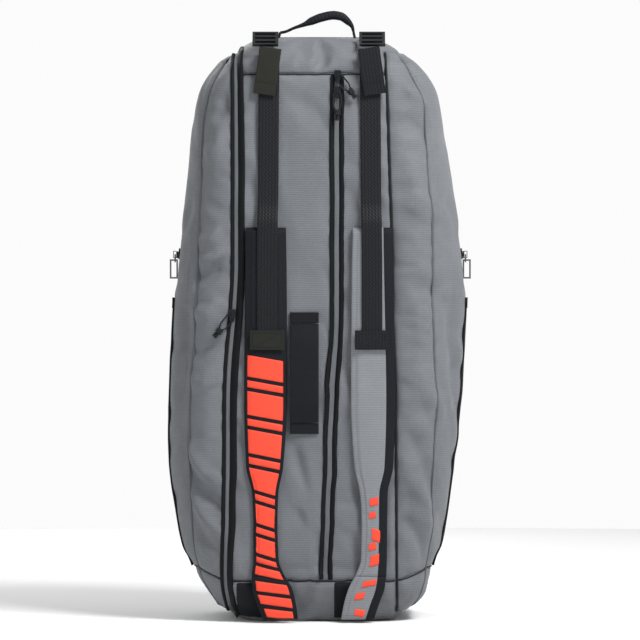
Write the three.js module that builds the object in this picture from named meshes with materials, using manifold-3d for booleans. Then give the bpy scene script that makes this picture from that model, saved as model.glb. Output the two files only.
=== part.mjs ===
// Racket tournament bag: a soft holdall that stands on its base, built from sewn fabric panels.
// Three compartments lie side by side across X. The left one opens at the front, on a fold at the rear.
// The right one opens at the rear, on a fold at the front. The centre one opens through a slit zip in front.
// Two padded shoulder straps, a top handle and a grab handle lie on the front, which faces -Y.
// Millimetres, +Z up, +X to the right of the front. The origin is the middle of the flat base.
import * as THREE from "three";
import { mergeVertices } from "three/addons/utils/BufferGeometryUtils.js";
import Module from "manifold-3d";

const wasm = await Module();
wasm.setup();

// ---------------------------------------------------------------- driving dimensions
const BODY_HEIGHT = 767;
const LEFT_REACH = 198; // furthest left of the body's skin from the origin
const RIGHT_REACH = 196;
const FRONT_REACH = 158;
const REAR_REACH = 162;
const CORNER_RADIUS = 70; // upright corners between the faces
const WALL = 5; // padded fabric: face cloth, foam and lining
const GAP = 0.3; // between pieces that are sewn or lie face to face
const DIVIDER_THICKNESS = 3;
const BASE_BOARD_THICKNESS = 3;

const LEFT_SPLIT_BASE_X = -118; // the left compartment's zip leans from here at the base seam
const LEFT_SPLIT_TOP_X = -107; // to here at the top seam
const RIGHT_SPLIT_X = 104; // fold line of the right compartment
const GUSSET_WIDTH = 54; // strip between a split and the seam of the outer panel
const BASE_SEAM_Z = 54;
const TOP_SEAM_DROP = 35; // from the body's top down to the seam under the top panel

const ZIP_TAPE_WIDTH = 8.5; // one half of a zip
const ZIP_TAPE_THICKNESS = 2;
const ZIP_COIL_WIDTH = 2.2;
const ZIP_COIL_PROUD = 1;
const LEFT_ZIP_LOW_MARGIN = 4; // above the base seam
const LEFT_ZIP_TOP_DROP = 66; // from the body's top to the end of the left zip's straight run
const REAR_ZIP_TOP_DROP = 212;
const REAR_ZIP_LOW_Z = 96;

const CENTRE_ZIP_BASE_X = 10;
const CENTRE_ZIP_TOP_X = 26;
const CENTRE_ZIP_TOP_MARGIN = 6; // below the top seam
const SLIT_HALF_WIDTH = 20; // of the slit in the front panel, which the lips close
const LIP_OVERLAP = 4; // of a lip behind the front panel
const LIP_THICKNESS = 2;
const LIP_CLEARANCE = 1.4;

const SLIDER_WIDTH = 10;
const SLIDER_LENGTH = 16;
const SLIDER_THICKNESS = 3;
const SLIDER_NOSE_SHARE = 0.55; // width of the plate's nose, its tail and where it is widest
const SLIDER_TAIL_SHARE = 0.8;
const SLIDER_SHOULDER_SHARE = 0.4;
const BRIDGE_HEIGHT = 4.2; // of the slider's bridge above its plate
const BRIDGE_BAR = 0.9; // thickness of its bars, and half of its width
const BRIDGE_LOW = -3.8; // ends of the bridge below and above the pull's eye
const BRIDGE_HIGH = 7;
const POCKET_BRIDGE = 4.9;
const CORD_RADIUS = 1;
const LOOP_HALF = 5; // of the cord's loop across its two legs
const LOOP_LOW_SHARE = 0.72; // where the loop is widest, as shares of the pull's length
const LOOP_HIGH_SHARE = 0.12;
const LOOP_CROWN_SHARE = 0.55; // the loop's crown under the slider's bridge
const LOOP_CROWN_DROP = 0.15;
const CORD_PULL_LENGTH = 26; // slider bridge to the middle of the knot
const KNOT_RADIUS = 4.4;
const KNOT_OFFSET = 2; // of the knot outwards from the cord's plane
const KNOT_HALF = 0.6; // between the cord's ends in the knot
const TASSEL_LENGTH = 9;
const TASSEL_FLATNESS = 0.6;
const LEFT_SLIDER_Z = 402;
const UPPER_SLIDER_DROP = 17; // of the centre zip's upper slider below the top seam
const SLIDER_PITCH = 21; // between the centre zip's two sliders
const REAR_SLIDER_Z = 500;
const LEFT_PULL_TURN = THREE.MathUtils.degToRad(40); // the left pull lies slanting over the cover
const UPPER_PULL_TURN = THREE.MathUtils.degToRad(-40);

const WEBBING_WIDTH = 26;
const WEBBING_THICKNESS = 1.8;
const LEFT_STRAP_X = -69; // centre line of each shoulder strap
const RIGHT_STRAP_X = 71;
const PAD_THICKNESS = 8.5;
const PAD_CLEARANCE = 3; // between the front and a pad
const PAD_TOP_Z = 517;
const PAD_JOIN_Z = 60; // sewn lower end below, free pad above
const WEBBING_END_Z = 366; // lower end of the webbing on the pad
const BAR_HEIGHT = 25; // cross bar sewn over the end of the webbing
const BAR_LENGTH = 48;
const BAR_DROP = 8; // of the bar's lower edge below the webbing's end
const BAR_THICKNESS = 3.2; // bar and webbing together
const WEBBING_JOIN_DROP = 167; // below the body's top: fixed webbing above, free webbing below
const TAIL_LENGTH = 62;
const TAIL_LEAN = THREE.MathUtils.degToRad(8);
const LOCK_WIDTH = 34;
const LOCK_HEIGHT = 22;
const LOCK_THICKNESS = 4;
const LOCK_BAR = 3.6; // each bar of the ladder lock
const LOCK_LEAN = THREE.MathUtils.degToRad(-42);
const LOCK_BACK = 8; // of the lock's foot behind the webbing
const LOCK_RISE = 23; // of the lock's foot above the top seam
const TAB_LENGTH = 46;
const TAB_BACK = 30; // of the tab's near end behind the webbing
const TAB_RISE = 3; // of the tab's near end above the body's top
const TAIL_RISE = 21; // of the tail's upper end above the top seam
const TAIL_PROUD = 2.5; // of the tail in front of the webbing
const TAIL_SHIFT = 2; // of the tail towards the middle
const PAD_STEP = 4; // webbing runs this far past the pad before it drops to the front
const PAD_STEP_END = 30; // and lies on the front from here above the pad
// How the upper webbing leans back over the top edge: [backwards, above the top seam].
const WEBBING_LEAN = [
  [0, 0],
  [3, 10],
  [9, 19],
];

const HANDLE_Y = -98;
const HANDLE_LEFT_X = -50;
const HANDLE_RIGHT_X = 48;
const HANDLE_RISE = 33; // centre line of the grip above the body's top
const HANDLE_FOOT = 9; // centre line of each end above the body's top
// The handle's centre line: [share of its span from the left foot, share of its rise from the feet].
const HANDLE_PATH = [
  [0, 0],
  [0.184, 0.25],
  [0.459, 0.625],
  [0.663, 0.917],
  [0.765, 1],
  [0.908, 0.833],
  [0.98, 0.458],
  [1, 0],
];
const HANDLE_WIDTH = 20; // along Y
const HANDLE_THICKNESS = 8;

const GRAB_X = -18;
const GRAB_WIDTH = 38;
const GRAB_LOW_Z = 247;
const GRAB_HIGH_Z = 406;
const GRAB_THICKNESS = 3;
const GRAB_BOW = 12; // how far the middle of the grab handle stands off the front
const GRAB_TAB = 14; // sewn end
const GRAB_BOW_RUN = 22; // length over which the handle rises from its end to its full bow

const POCKET_LOW_Z = 70;
const POCKET_HIGH_Z = 425;
const POCKET_HALF_DEPTH = 92;
const POCKET_THICKNESS = 4;
const POCKET_ZIP_Z = 484;
const POCKET_ZIP_HALF = 86;
const POCKET_ZIP_HEIGHT = 15;
const PULL_WIDTH = 11;
const PULL_LENGTH = 26;
const PULL_BAR = 2.2;
const PULL_STANDOFF = 0.8; // of the pull's inner bar from the slider's back
const LINK_RADIUS = 5;
const LINK_WIRE = 0.9; // radius of the link's wire
const LINK_PLAY = 0.5; // of the pull's upper bar over the link's wire

const TOP_SEAM_Z = BODY_HEIGHT - TOP_SEAM_DROP;
const FAR = 2000;

// The body's outline, as shares of its height and of its reach to the left, right, front and rear.
const OUTLINE = [
  [0.0, 0.45, 0.42, 0.74, 0.66],
  [0.008, 0.57, 0.55, 0.84, 0.75],
  [0.036, 0.71, 0.73, 0.955, 0.87],
  [0.07, 0.833, 0.77, 1.0, 0.94],
  [0.175, 0.934, 0.862, 1.0, 1.0],
  [0.31, 1.0, 0.929, 1.0, 1.0],
  [0.42, 0.985, 0.972, 1.0, 1.0],
  [0.557, 0.96, 1.0, 1.0, 1.0],
  [0.66, 0.92, 0.96, 1.0, 1.0],
  [0.74, 0.88, 0.916, 1.0, 0.985],
  [0.83, 0.848, 0.855, 1.0, 0.93],
  [0.904, 0.79, 0.8, 1.0, 0.845],
  [0.954, 0.66, 0.67, 0.995, 0.745],
  [0.979, 0.545, 0.555, 0.91, 0.64],
  [0.993, 0.46, 0.465, 0.81, 0.56],
  [1.0, 0.38, 0.385, 0.7, 0.49],
];
const CORNER_STEPS = 6;

// Half width of a shoulder pad at heights over the base: [height, towards the middle, away from the middle].
const PAD_OUTLINE = [
  [4, 42, 3],
  [25, 38, 10],
  [52, 32, 18],
  [82, 17, 18],
  [168, 15, 19],
  [205, 24, 28],
  [290, 29, 30],
  [PAD_TOP_Z - 60, 27, 26],
  [PAD_TOP_Z, 25, 25],
];

// ---------------------------------------------------------------- solids
function solid(geometry) {
  const bare = geometry.index ? geometry.toNonIndexed() : geometry.clone();
  const positions = new THREE.BufferGeometry().setAttribute("position", bare.getAttribute("position"));
  const merged = mergeVertices(positions, 1e-3);
  return new wasm.Manifold(
    new wasm.Mesh({
      numProp: 3,
      vertProperties: merged.attributes.position.array,
      triVerts: new Uint32Array(merged.index.array),
    }),
  );
}

function geometryOf(manifold) {
  const mesh = manifold.getMesh();
  const positions = new Float32Array(mesh.numVert * 3);
  for (let i = 0; i < mesh.numVert; i++) {
    const at = i * mesh.numProp;
    positions.set(mesh.vertProperties.subarray(at, at + 3), i * 3);
  }
  return new THREE.BufferGeometry()
    .setAttribute("position", new THREE.BufferAttribute(positions, 3))
    .setIndex(new THREE.BufferAttribute(mesh.triVerts, 1));
}

function block([x0, x1], [y0, y1], [z0, z1]) {
  const box = new THREE.BoxGeometry(x1 - x0, y1 - y0, z1 - z0);
  return solid(box.translate((x0 + x1) / 2, (y0 + y1) / 2, (z0 + z1) / 2));
}

const EVERY = [-FAR, FAR];
const slabY = (y0, y1) => block(EVERY, [y0, y1], EVERY);
const slabZ = (z0, z1) => block(EVERY, EVERY, [z0, z1]);

// A seam line gives X at a height. These make an upright one, a leaning one, and one beside another.
const upright = (x) => () => x;
const leaning = (baseX, topX) => (z) =>
  baseX + ((topX - baseX) * (z - BASE_SEAM_Z)) / (TOP_SEAM_Z - BASE_SEAM_Z);
const beside = (line, by) => (z) => line(z) + by;

// All that lies between two seam lines.
function between(lineA, lineB, depth = EVERY, [z0, z1] = EVERY) {
  const [left, right] = lineA(z0) < lineB(z0) ? [lineA, lineB] : [lineB, lineA];
  const outline = [
    [left(z0), z0],
    [right(z0), z0],
    [right(z1), z1],
    [left(z1), z1],
  ];
  return solid(plate(outline, ...depth));
}

// A flat outline in the XZ plane, pushed from y0 to y1. Holes are outlines too.
function plate(points, y0, y1, holes = []) {
  const shape = new THREE.Shape(points.map(([x, z]) => new THREE.Vector2(x, z)));
  for (const hole of holes) {
    shape.holes.push(new THREE.Path(hole.map(([x, z]) => new THREE.Vector2(x, z))));
  }
  const pushed = new THREE.ExtrudeGeometry(shape, { depth: y1 - y0, bevelEnabled: false, curveSegments: 6 });
  return pushed.rotateX(Math.PI / 2).translate(0, y1, 0);
}

// A flat outline in the YZ plane, pushed from x0 to x1.
function slice(points, x0, x1) {
  const shape = new THREE.Shape(points.map(([y, z]) => new THREE.Vector2(y, z)));
  const pushed = new THREE.ExtrudeGeometry(shape, { depth: x1 - x0, bevelEnabled: false });
  return pushed.rotateY(Math.PI / 2).rotateX(Math.PI / 2).translate(x0, 0, 0);
}

// A strip of cloth seen from its edge: a path in the YZ plane, thickened towards the front, x0 to x1 wide.
function strip(path, thickness, x0, x1) {
  const offset = path.map((point, i) => {
    const before = path[Math.max(i - 1, 0)];
    const after = path[Math.min(i + 1, path.length - 1)];
    const along = new THREE.Vector2(after[0] - before[0], after[1] - before[1]).normalize();
    return [point[0] - along.y * thickness, point[1] + along.x * thickness];
  });
  return slice([...path, ...offset.reverse()], x0, x1);
}

function rectangle(x0, x1, z0, z1) {
  return [
    [x0, z0],
    [x1, z0],
    [x1, z1],
    [x0, z1],
  ];
}

function tube(points, radius, sides = 8, steps = 24) {
  const section = new THREE.Shape();
  section.absarc(0, 0, radius, 0, Math.PI * 2, false);
  const path = new THREE.CatmullRomCurve3(points);
  const options = { extrudePath: path, steps, curveSegments: sides / 2, bevelEnabled: false };
  return new THREE.ExtrudeGeometry(section, options);
}

// The four corner arcs of one level of the body, counter-clockwise seen from above.
function levelPoints([height, left, right, front, rear], inset) {
  const z = inset + height * (BODY_HEIGHT - 2 * inset);
  const x0 = -left * LEFT_REACH + inset;
  const x1 = right * RIGHT_REACH - inset;
  const y0 = -front * FRONT_REACH + inset;
  const y1 = rear * REAR_REACH - inset;
  const radius = Math.min(CORNER_RADIUS - inset, 0.48 * (x1 - x0), 0.48 * (y1 - y0));
  const centres = [
    [x1 - radius, y1 - radius],
    [x0 + radius, y1 - radius],
    [x0 + radius, y0 + radius],
    [x1 - radius, y0 + radius],
  ];
  return centres.flatMap(([cx, cy], corner) =>
    Array.from({ length: CORNER_STEPS + 1 }, (_, step) => {
      const angle = (corner + step / CORNER_STEPS) * (Math.PI / 2);
      return [cx + radius * Math.cos(angle), cy + radius * Math.sin(angle), z];
    }),
  );
}

// The body as a closed solid, drawn in by inset on every side (or out, where inset is negative).
function body(inset) {
  const levels = OUTLINE.map((level) => levelPoints(level, inset));
  const around = levels[0].length;
  const positions = levels.flat(2);
  const faces = [];
  for (let i = 0; i < levels.length - 1; i++) {
    for (let j = 0; j < around; j++) {
      const a = i * around + j;
      const b = i * around + ((j + 1) % around);
      faces.push(a, b, b + around, a, b + around, a + around);
    }
  }
  const top = (levels.length - 1) * around;
  for (let j = 1; j < around - 1; j++) {
    faces.push(0, j + 1, j);
    faces.push(top, top + j, top + j + 1);
  }
  const made = new THREE.BufferGeometry();
  made.setAttribute("position", new THREE.Float32BufferAttribute(positions, 3));
  made.setIndex(faces);
  return solid(made);
}

// Reach of the body's left or right skin at a height, from the outline's straight stretches.
function reachAt(z, column, reach) {
  const share = z / BODY_HEIGHT;
  const above = OUTLINE.findIndex((level) => level[0] >= share);
  const [low, high] = [OUTLINE[above - 1], OUTLINE[above]];
  const part = (share - low[0]) / (high[0] - low[0]);
  return (low[column] + part * (high[column] - low[column])) * reach;
}

// ---------------------------------------------------------------- materials
const cloth = (colour) => new THREE.MeshStandardMaterial({ color: colour, roughness: 0.85, metalness: 0 });
const greyCloth = cloth(0x6f7378);
const blackCloth = cloth(0x26282b);
const lining = cloth(0x3a3d41);
const webbing = cloth(0x232527);
const zipTape = cloth(0x1c1e20);
const cord = cloth(0x17181a);
const strapCloth = cloth(0x7b7e83);
const board = new THREE.MeshStandardMaterial({ color: 0x2d2d2d, roughness: 0.6, metalness: 0 });
const plastic = new THREE.MeshStandardMaterial({ color: 0x1d1f21, roughness: 0.45, metalness: 0 });
const metal = new THREE.MeshStandardMaterial({ color: 0x3a3c3f, roughness: 0.35, metalness: 1 });

const bag = new THREE.Group();

function add(name, shape, material) {
  const geometry = shape.isBufferGeometry ? shape : geometryOf(shape);
  const mesh = new THREE.Mesh(geometry, material);
  mesh.name = name;
  bag.add(mesh);
  return mesh;
}

// ---------------------------------------------------------------- body panels
const skin = body(0).subtract(body(WALL));
const frontHalf = slabY(-FAR, 0);
const rearHalf = slabY(GAP, FAR);
const middleBand = slabZ(BASE_SEAM_Z, TOP_SEAM_Z);
const topBand = slabZ(TOP_SEAM_Z + GAP, FAR);
const baseBand = slabZ(-FAR, BASE_SEAM_Z - GAP);

const leftSplit = leaning(LEFT_SPLIT_BASE_X, LEFT_SPLIT_TOP_X);
const rightSplit = upright(RIGHT_SPLIT_X);
const centreZip = leaning(CENTRE_ZIP_BASE_X, CENTRE_ZIP_TOP_X);
const leftZipRun = [BASE_SEAM_Z + LEFT_ZIP_LOW_MARGIN, BODY_HEIGHT - LEFT_ZIP_TOP_DROP];
const rearZipRun = [REAR_ZIP_LOW_Z, BODY_HEIGHT - REAR_ZIP_TOP_DROP];
const centreZipRun = [BASE_SEAM_Z + GAP, TOP_SEAM_Z - CENTRE_ZIP_TOP_MARGIN];

// The room that a zip takes in the panels and dividers on both sides of its line.
function zipChannel(line, depth, [z0, z1]) {
  const reach = ZIP_TAPE_WIDTH + 2 * GAP;
  return between(beside(line, -reach), beside(line, reach), depth, [z0 - GAP, z1 + GAP]);
}
const leftZipChannel = zipChannel(leftSplit, [-FAR, 0], leftZipRun);
const rearZipChannel = zipChannel(rightSplit, [0, FAR], rearZipRun);

// A cover is the outer compartment that swings: an outer panel, and four gussets round its edge.
function addCover(side, outer, gussets, channel) {
  add(`${side}_outer_panel`, skin.intersect(outer), greyCloth);
  const strips = skin.intersect(gussets);
  const band = strips.intersect(middleBand).subtract(channel);
  add(`${side}_front_gusset`, band.intersect(frontHalf), greyCloth);
  add(`${side}_rear_gusset`, band.intersect(rearHalf), greyCloth);
  add(`${side}_top_gusset`, strips.intersect(topBand), greyCloth);
  add(`${side}_base_gusset`, strips.intersect(baseBand), greyCloth);
}
const leftSeam = beside(leftSplit, -GUSSET_WIDTH);
const rightSeam = beside(rightSplit, GUSSET_WIDTH);
const leftOuter = between(upright(-FAR), beside(leftSeam, -GAP));
const rightOuter = between(beside(rightSeam, GAP), upright(FAR));
addCover("left", leftOuter, between(leftSeam, beside(leftSplit, -GAP)), leftZipChannel);
addCover("right", rightOuter, between(beside(rightSplit, GAP), rightSeam), rearZipChannel);

const centreRing = skin.intersect(between(leftSplit, rightSplit));
const centreBand = centreRing.intersect(middleBand).subtract(leftZipChannel).subtract(rearZipChannel);
const centreFront = centreBand.intersect(frontHalf);
const leftOfSlit = between(upright(-FAR), beside(centreZip, -SLIT_HALF_WIDTH));
const rightOfSlit = between(beside(centreZip, SLIT_HALF_WIDTH), upright(FAR));
add("centre_front_panel_left", centreFront.intersect(leftOfSlit), greyCloth);
add("centre_front_panel_right", centreFront.intersect(rightOfSlit), greyCloth);
add("centre_rear_panel", centreBand.intersect(rearHalf), greyCloth);
add("top_panel", centreRing.intersect(topBand), greyCloth);
add("base_panel", centreRing.intersect(baseBand), greyCloth);

const inside = body(WALL + GAP);
const leftDividerLine = beside(leftSplit, GAP + DIVIDER_THICKNESS);
const rightDividerLine = beside(rightSplit, -GAP - DIVIDER_THICKNESS);
const leftDivider = inside.intersect(between(beside(leftSplit, GAP), leftDividerLine));
const rightDivider = inside.intersect(between(rightDividerLine, beside(rightSplit, -GAP)));
add("left_divider", leftDivider.subtract(leftZipChannel), lining);
add("right_divider", rightDivider.subtract(rearZipChannel), lining);
const boardTop = WALL + GAP + BASE_BOARD_THICKNESS;
const boardSides = [beside(leftDividerLine, GAP), beside(rightDividerLine, -GAP)];
const boardSpace = between(...boardSides, EVERY, [-FAR, boardTop]);
add("base_board", inside.intersect(boardSpace), board);

// ---------------------------------------------------------------- zips
// One half of a zip: its tape, and the coil along the edge that meets the other half.
function zipHalf(line, side, face, outward, run) {
  const near = beside(line, (side * GAP) / 2);
  const tapeBack = face - outward * (ZIP_TAPE_THICKNESS + ZIP_COIL_PROUD);
  const tapeFront = face - outward * ZIP_COIL_PROUD;
  const span = (a, b) => [Math.min(a, b), Math.max(a, b)];
  const tape = between(near, beside(line, side * (ZIP_TAPE_WIDTH + GAP)), span(tapeBack, tapeFront), run);
  return tape.add(between(near, beside(line, side * ZIP_COIL_WIDTH), span(tapeBack, face), run));
}
const frontZipFace = -FRONT_REACH;
const rearZipFace = REAR_REACH;
add("left_zip_cover_half", zipHalf(leftSplit, -1, frontZipFace, -1, leftZipRun), zipTape);
add("left_zip_centre_half", zipHalf(leftSplit, 1, frontZipFace, -1, leftZipRun), zipTape);
add("rear_zip_cover_half", zipHalf(rightSplit, 1, rearZipFace, 1, rearZipRun), zipTape);
add("rear_zip_centre_half", zipHalf(rightSplit, -1, rearZipFace, 1, rearZipRun), zipTape);

// The lips of the centre slit lie behind the front panels, and draw back behind them.
const lipFront = -FRONT_REACH + WALL + LIP_CLEARANCE;
function lip(side) {
  const near = beside(centreZip, (side * GAP) / 2);
  const far = beside(centreZip, side * (SLIT_HALF_WIDTH + LIP_OVERLAP));
  const sheet = between(near, far, [lipFront, lipFront + LIP_THICKNESS], centreZipRun).intersect(inside);
  const coilEdge = beside(centreZip, side * ZIP_COIL_WIDTH);
  return sheet.add(between(near, coilEdge, [frontZipFace, lipFront + LIP_THICKNESS], centreZipRun));
}
add("centre_zip_lip_left", lip(-1), zipTape);
add("centre_zip_lip_right", lip(1), zipTape);

// A slider's plate, made about the origin with its back on y = 0 and its front towards -Y.
function sliderPlate() {
  const half = SLIDER_WIDTH / 2;
  const nose = SLIDER_LENGTH / 2;
  const shoulder = nose * SLIDER_SHOULDER_SHARE;
  const outline = [
    [-half * SLIDER_NOSE_SHARE, -nose],
    [half * SLIDER_NOSE_SHARE, -nose],
    [half, shoulder],
    [half * SLIDER_TAIL_SHARE, nose],
    [-half * SLIDER_TAIL_SHARE, nose],
    [-half, shoulder],
  ];
  return plate(outline, -SLIDER_THICKNESS, 0);
}

// The upright bridge over the plate, from low to high, with an eye under it that is open to both sides.
function sliderBridge(low, high) {
  const top = SLIDER_THICKNESS + BRIDGE_HEIGHT;
  const bridge = block([-BRIDGE_BAR, BRIDGE_BAR], [-top, BRIDGE_BAR - SLIDER_THICKNESS], [low, high]);
  const eye = [low + BRIDGE_BAR, high - BRIDGE_BAR];
  return bridge.subtract(block(EVERY, [BRIDGE_BAR - top, -SLIDER_THICKNESS], eye));
}

const sliderSolid = () => solid(sliderPlate()).add(sliderBridge(BRIDGE_LOW, BRIDGE_HIGH));
const pocketSliderSolid = () =>
  solid(sliderPlate().rotateY(Math.PI / 2)).add(sliderBridge(-POCKET_BRIDGE, POCKET_BRIDGE));

// A cord loop through the slider's eye, with a knot and a frayed end. Made about the middle of the eye.
function cordPullSolid() {
  const drop = (share) => -CORD_PULL_LENGTH * share;
  const leg = (side) => [
    [side * KNOT_HALF, drop(1)],
    [side * LOOP_HALF, drop(LOOP_LOW_SHARE)],
    [side * LOOP_HALF, drop(LOOP_HIGH_SHARE)],
    [side * LOOP_HALF * LOOP_CROWN_SHARE, -LOOP_CROWN_DROP],
  ];
  const points = [...leg(-1), [0, 0], ...leg(1).reverse()];
  const loop = points.map(([x, z]) => new THREE.Vector3(x, 0, z));
  const knot = new THREE.SphereGeometry(KNOT_RADIUS, 10, 8).translate(0, -KNOT_OFFSET, drop(1));
  const tassel = new THREE.ConeGeometry(KNOT_RADIUS, TASSEL_LENGTH, 10).rotateX(Math.PI / 2);
  tassel.scale(1, TASSEL_FLATNESS, 1).translate(0, -KNOT_OFFSET, drop(1) - TASSEL_LENGTH / 2);
  return solid(tube(loop, CORD_RADIUS)).add(solid(knot)).add(solid(tassel));
}

const eyeOffset = SLIDER_THICKNESS + (BRIDGE_HEIGHT - BRIDGE_BAR) / 2;
const zipLean = (line) => Math.atan2(line(TOP_SEAM_Z) - line(BASE_SEAM_Z), TOP_SEAM_Z - BASE_SEAM_Z);
function addZipSlider(name, line, z, face, outward, pullTurn) {
  const turn = outward < 0 ? 0 : Math.PI;
  const slider = add(`${name}_slider`, sliderSolid(), metal);
  slider.position.set(line(z), face + outward * GAP, z);
  slider.rotation.set(0, zipLean(line), turn, "YXZ");
  const pull = add(`${name}_pull`, cordPullSolid(), cord);
  pull.position.set(line(z), face + outward * (GAP + eyeOffset), z);
  pull.rotation.set(0, pullTurn, turn, "YXZ");
}
const upperSliderZ = TOP_SEAM_Z - UPPER_SLIDER_DROP;
addZipSlider("left_zip", leftSplit, LEFT_SLIDER_Z, frontZipFace, -1, LEFT_PULL_TURN);
addZipSlider("centre_zip_upper", centreZip, upperSliderZ, frontZipFace, -1, UPPER_PULL_TURN);
addZipSlider("centre_zip_lower", centreZip, upperSliderZ - SLIDER_PITCH, frontZipFace, -1, 0);
addZipSlider("rear_zip", rightSplit, REAR_SLIDER_Z, rearZipFace, 1, 0);

// ---------------------------------------------------------------- side pockets
const pocketLayer = body(-POCKET_THICKNESS).subtract(body(-GAP));
const zipLayer = body(-ZIP_TAPE_THICKNESS).subtract(body(-GAP));
function addPocket(side) {
  const sign = side === "left" ? -1 : 1;
  const outer = side === "left" ? leftOuter : rightOuter;
  const depth = [-POCKET_HALF_DEPTH, POCKET_HALF_DEPTH];
  const pocket = block(EVERY, depth, [POCKET_LOW_Z, POCKET_HIGH_Z]);
  add(`${side}_side_pocket`, pocketLayer.intersect(pocket).intersect(outer), blackCloth);
  const zipBand = [POCKET_ZIP_Z - POCKET_ZIP_HEIGHT / 2, POCKET_ZIP_Z + POCKET_ZIP_HEIGHT / 2];
  const zip = block(EVERY, [-POCKET_ZIP_HALF, POCKET_ZIP_HALF], zipBand);
  add(`${side}_pocket_zip`, zipLayer.intersect(zip).intersect(outer), zipTape);

  const [column, reach] = side === "left" ? [1, LEFT_REACH] : [2, RIGHT_REACH];
  const widest = Math.max(...zipBand.map((z) => reachAt(z, column, reach)));
  const face = sign * (widest + ZIP_TAPE_THICKNESS + GAP);
  const slider = add(`${side}_pocket_slider`, pocketSliderSolid(), metal);
  slider.position.set(face, 0, POCKET_ZIP_Z);
  slider.rotation.z = sign * (Math.PI / 2);

  // A ring of wire hangs in the slider's eye, and the pull's upper bar lies in the ring.
  const ring = new THREE.TorusGeometry(LINK_RADIUS, LINK_WIRE, 8, 18).rotateY(Math.PI / 2);
  const ringMesh = add(`${side}_pocket_link`, ring, metal);
  ringMesh.position.set(face + sign * eyeOffset, 0, POCKET_ZIP_Z - LINK_RADIUS);
  const top = POCKET_ZIP_Z - 2 * LINK_RADIUS + LINK_WIRE + LINK_PLAY + PULL_BAR;
  const frame = rectangle(0, PULL_WIDTH, -PULL_LENGTH, 0);
  const hole = rectangle(PULL_BAR, PULL_WIDTH - PULL_BAR, PULL_BAR - PULL_LENGTH, -PULL_BAR);
  const pull = plate(frame, -PULL_BAR / 2, PULL_BAR / 2, [hole.reverse()]);
  const pullMesh = add(`${side}_pocket_pull`, pull, metal);
  pullMesh.position.set(face + sign * PULL_STANDOFF, 0, top);
  pullMesh.rotation.z = sign < 0 ? Math.PI : 0;
}
addPocket("left");
addPocket("right");

// ---------------------------------------------------------------- shoulder straps
const padBack = -FRONT_REACH - PAD_CLEARANCE;
const padFront = padBack - PAD_THICKNESS;
const webbingOnPad = padFront - GAP;
const webbingJoinZ = BODY_HEIGHT - WEBBING_JOIN_DROP;
const webbingOnFront = -FRONT_REACH - PAD_CLEARANCE;

const strapX = (away) => (away < 0 ? LEFT_STRAP_X : RIGHT_STRAP_X);

// The pad's outline between two heights. away is -1 for the left strap and 1 for the right.
function padPoints(away, low, high) {
  const widthAt = (z) => {
    const above = Math.max(1, PAD_OUTLINE.findIndex((row) => row[0] >= z));
    const [a, b] = [PAD_OUTLINE[above - 1], PAD_OUTLINE[above]];
    const part = (z - a[0]) / (b[0] - a[0]);
    return [z, a[1] + part * (b[1] - a[1]), a[2] + part * (b[2] - a[2])];
  };
  const inner = PAD_OUTLINE.filter((row) => row[0] > low && row[0] < high);
  const kept = [widthAt(low), ...inner, widthAt(high)];
  const middle = strapX(away);
  const right = kept.map(([z, toMiddle, outward]) => [middle + (away < 0 ? toMiddle : outward), z]);
  const left = kept.map(([z, toMiddle, outward]) => [middle - (away < 0 ? outward : toMiddle), z]);
  return [...right, ...left.reverse()];
}

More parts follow.
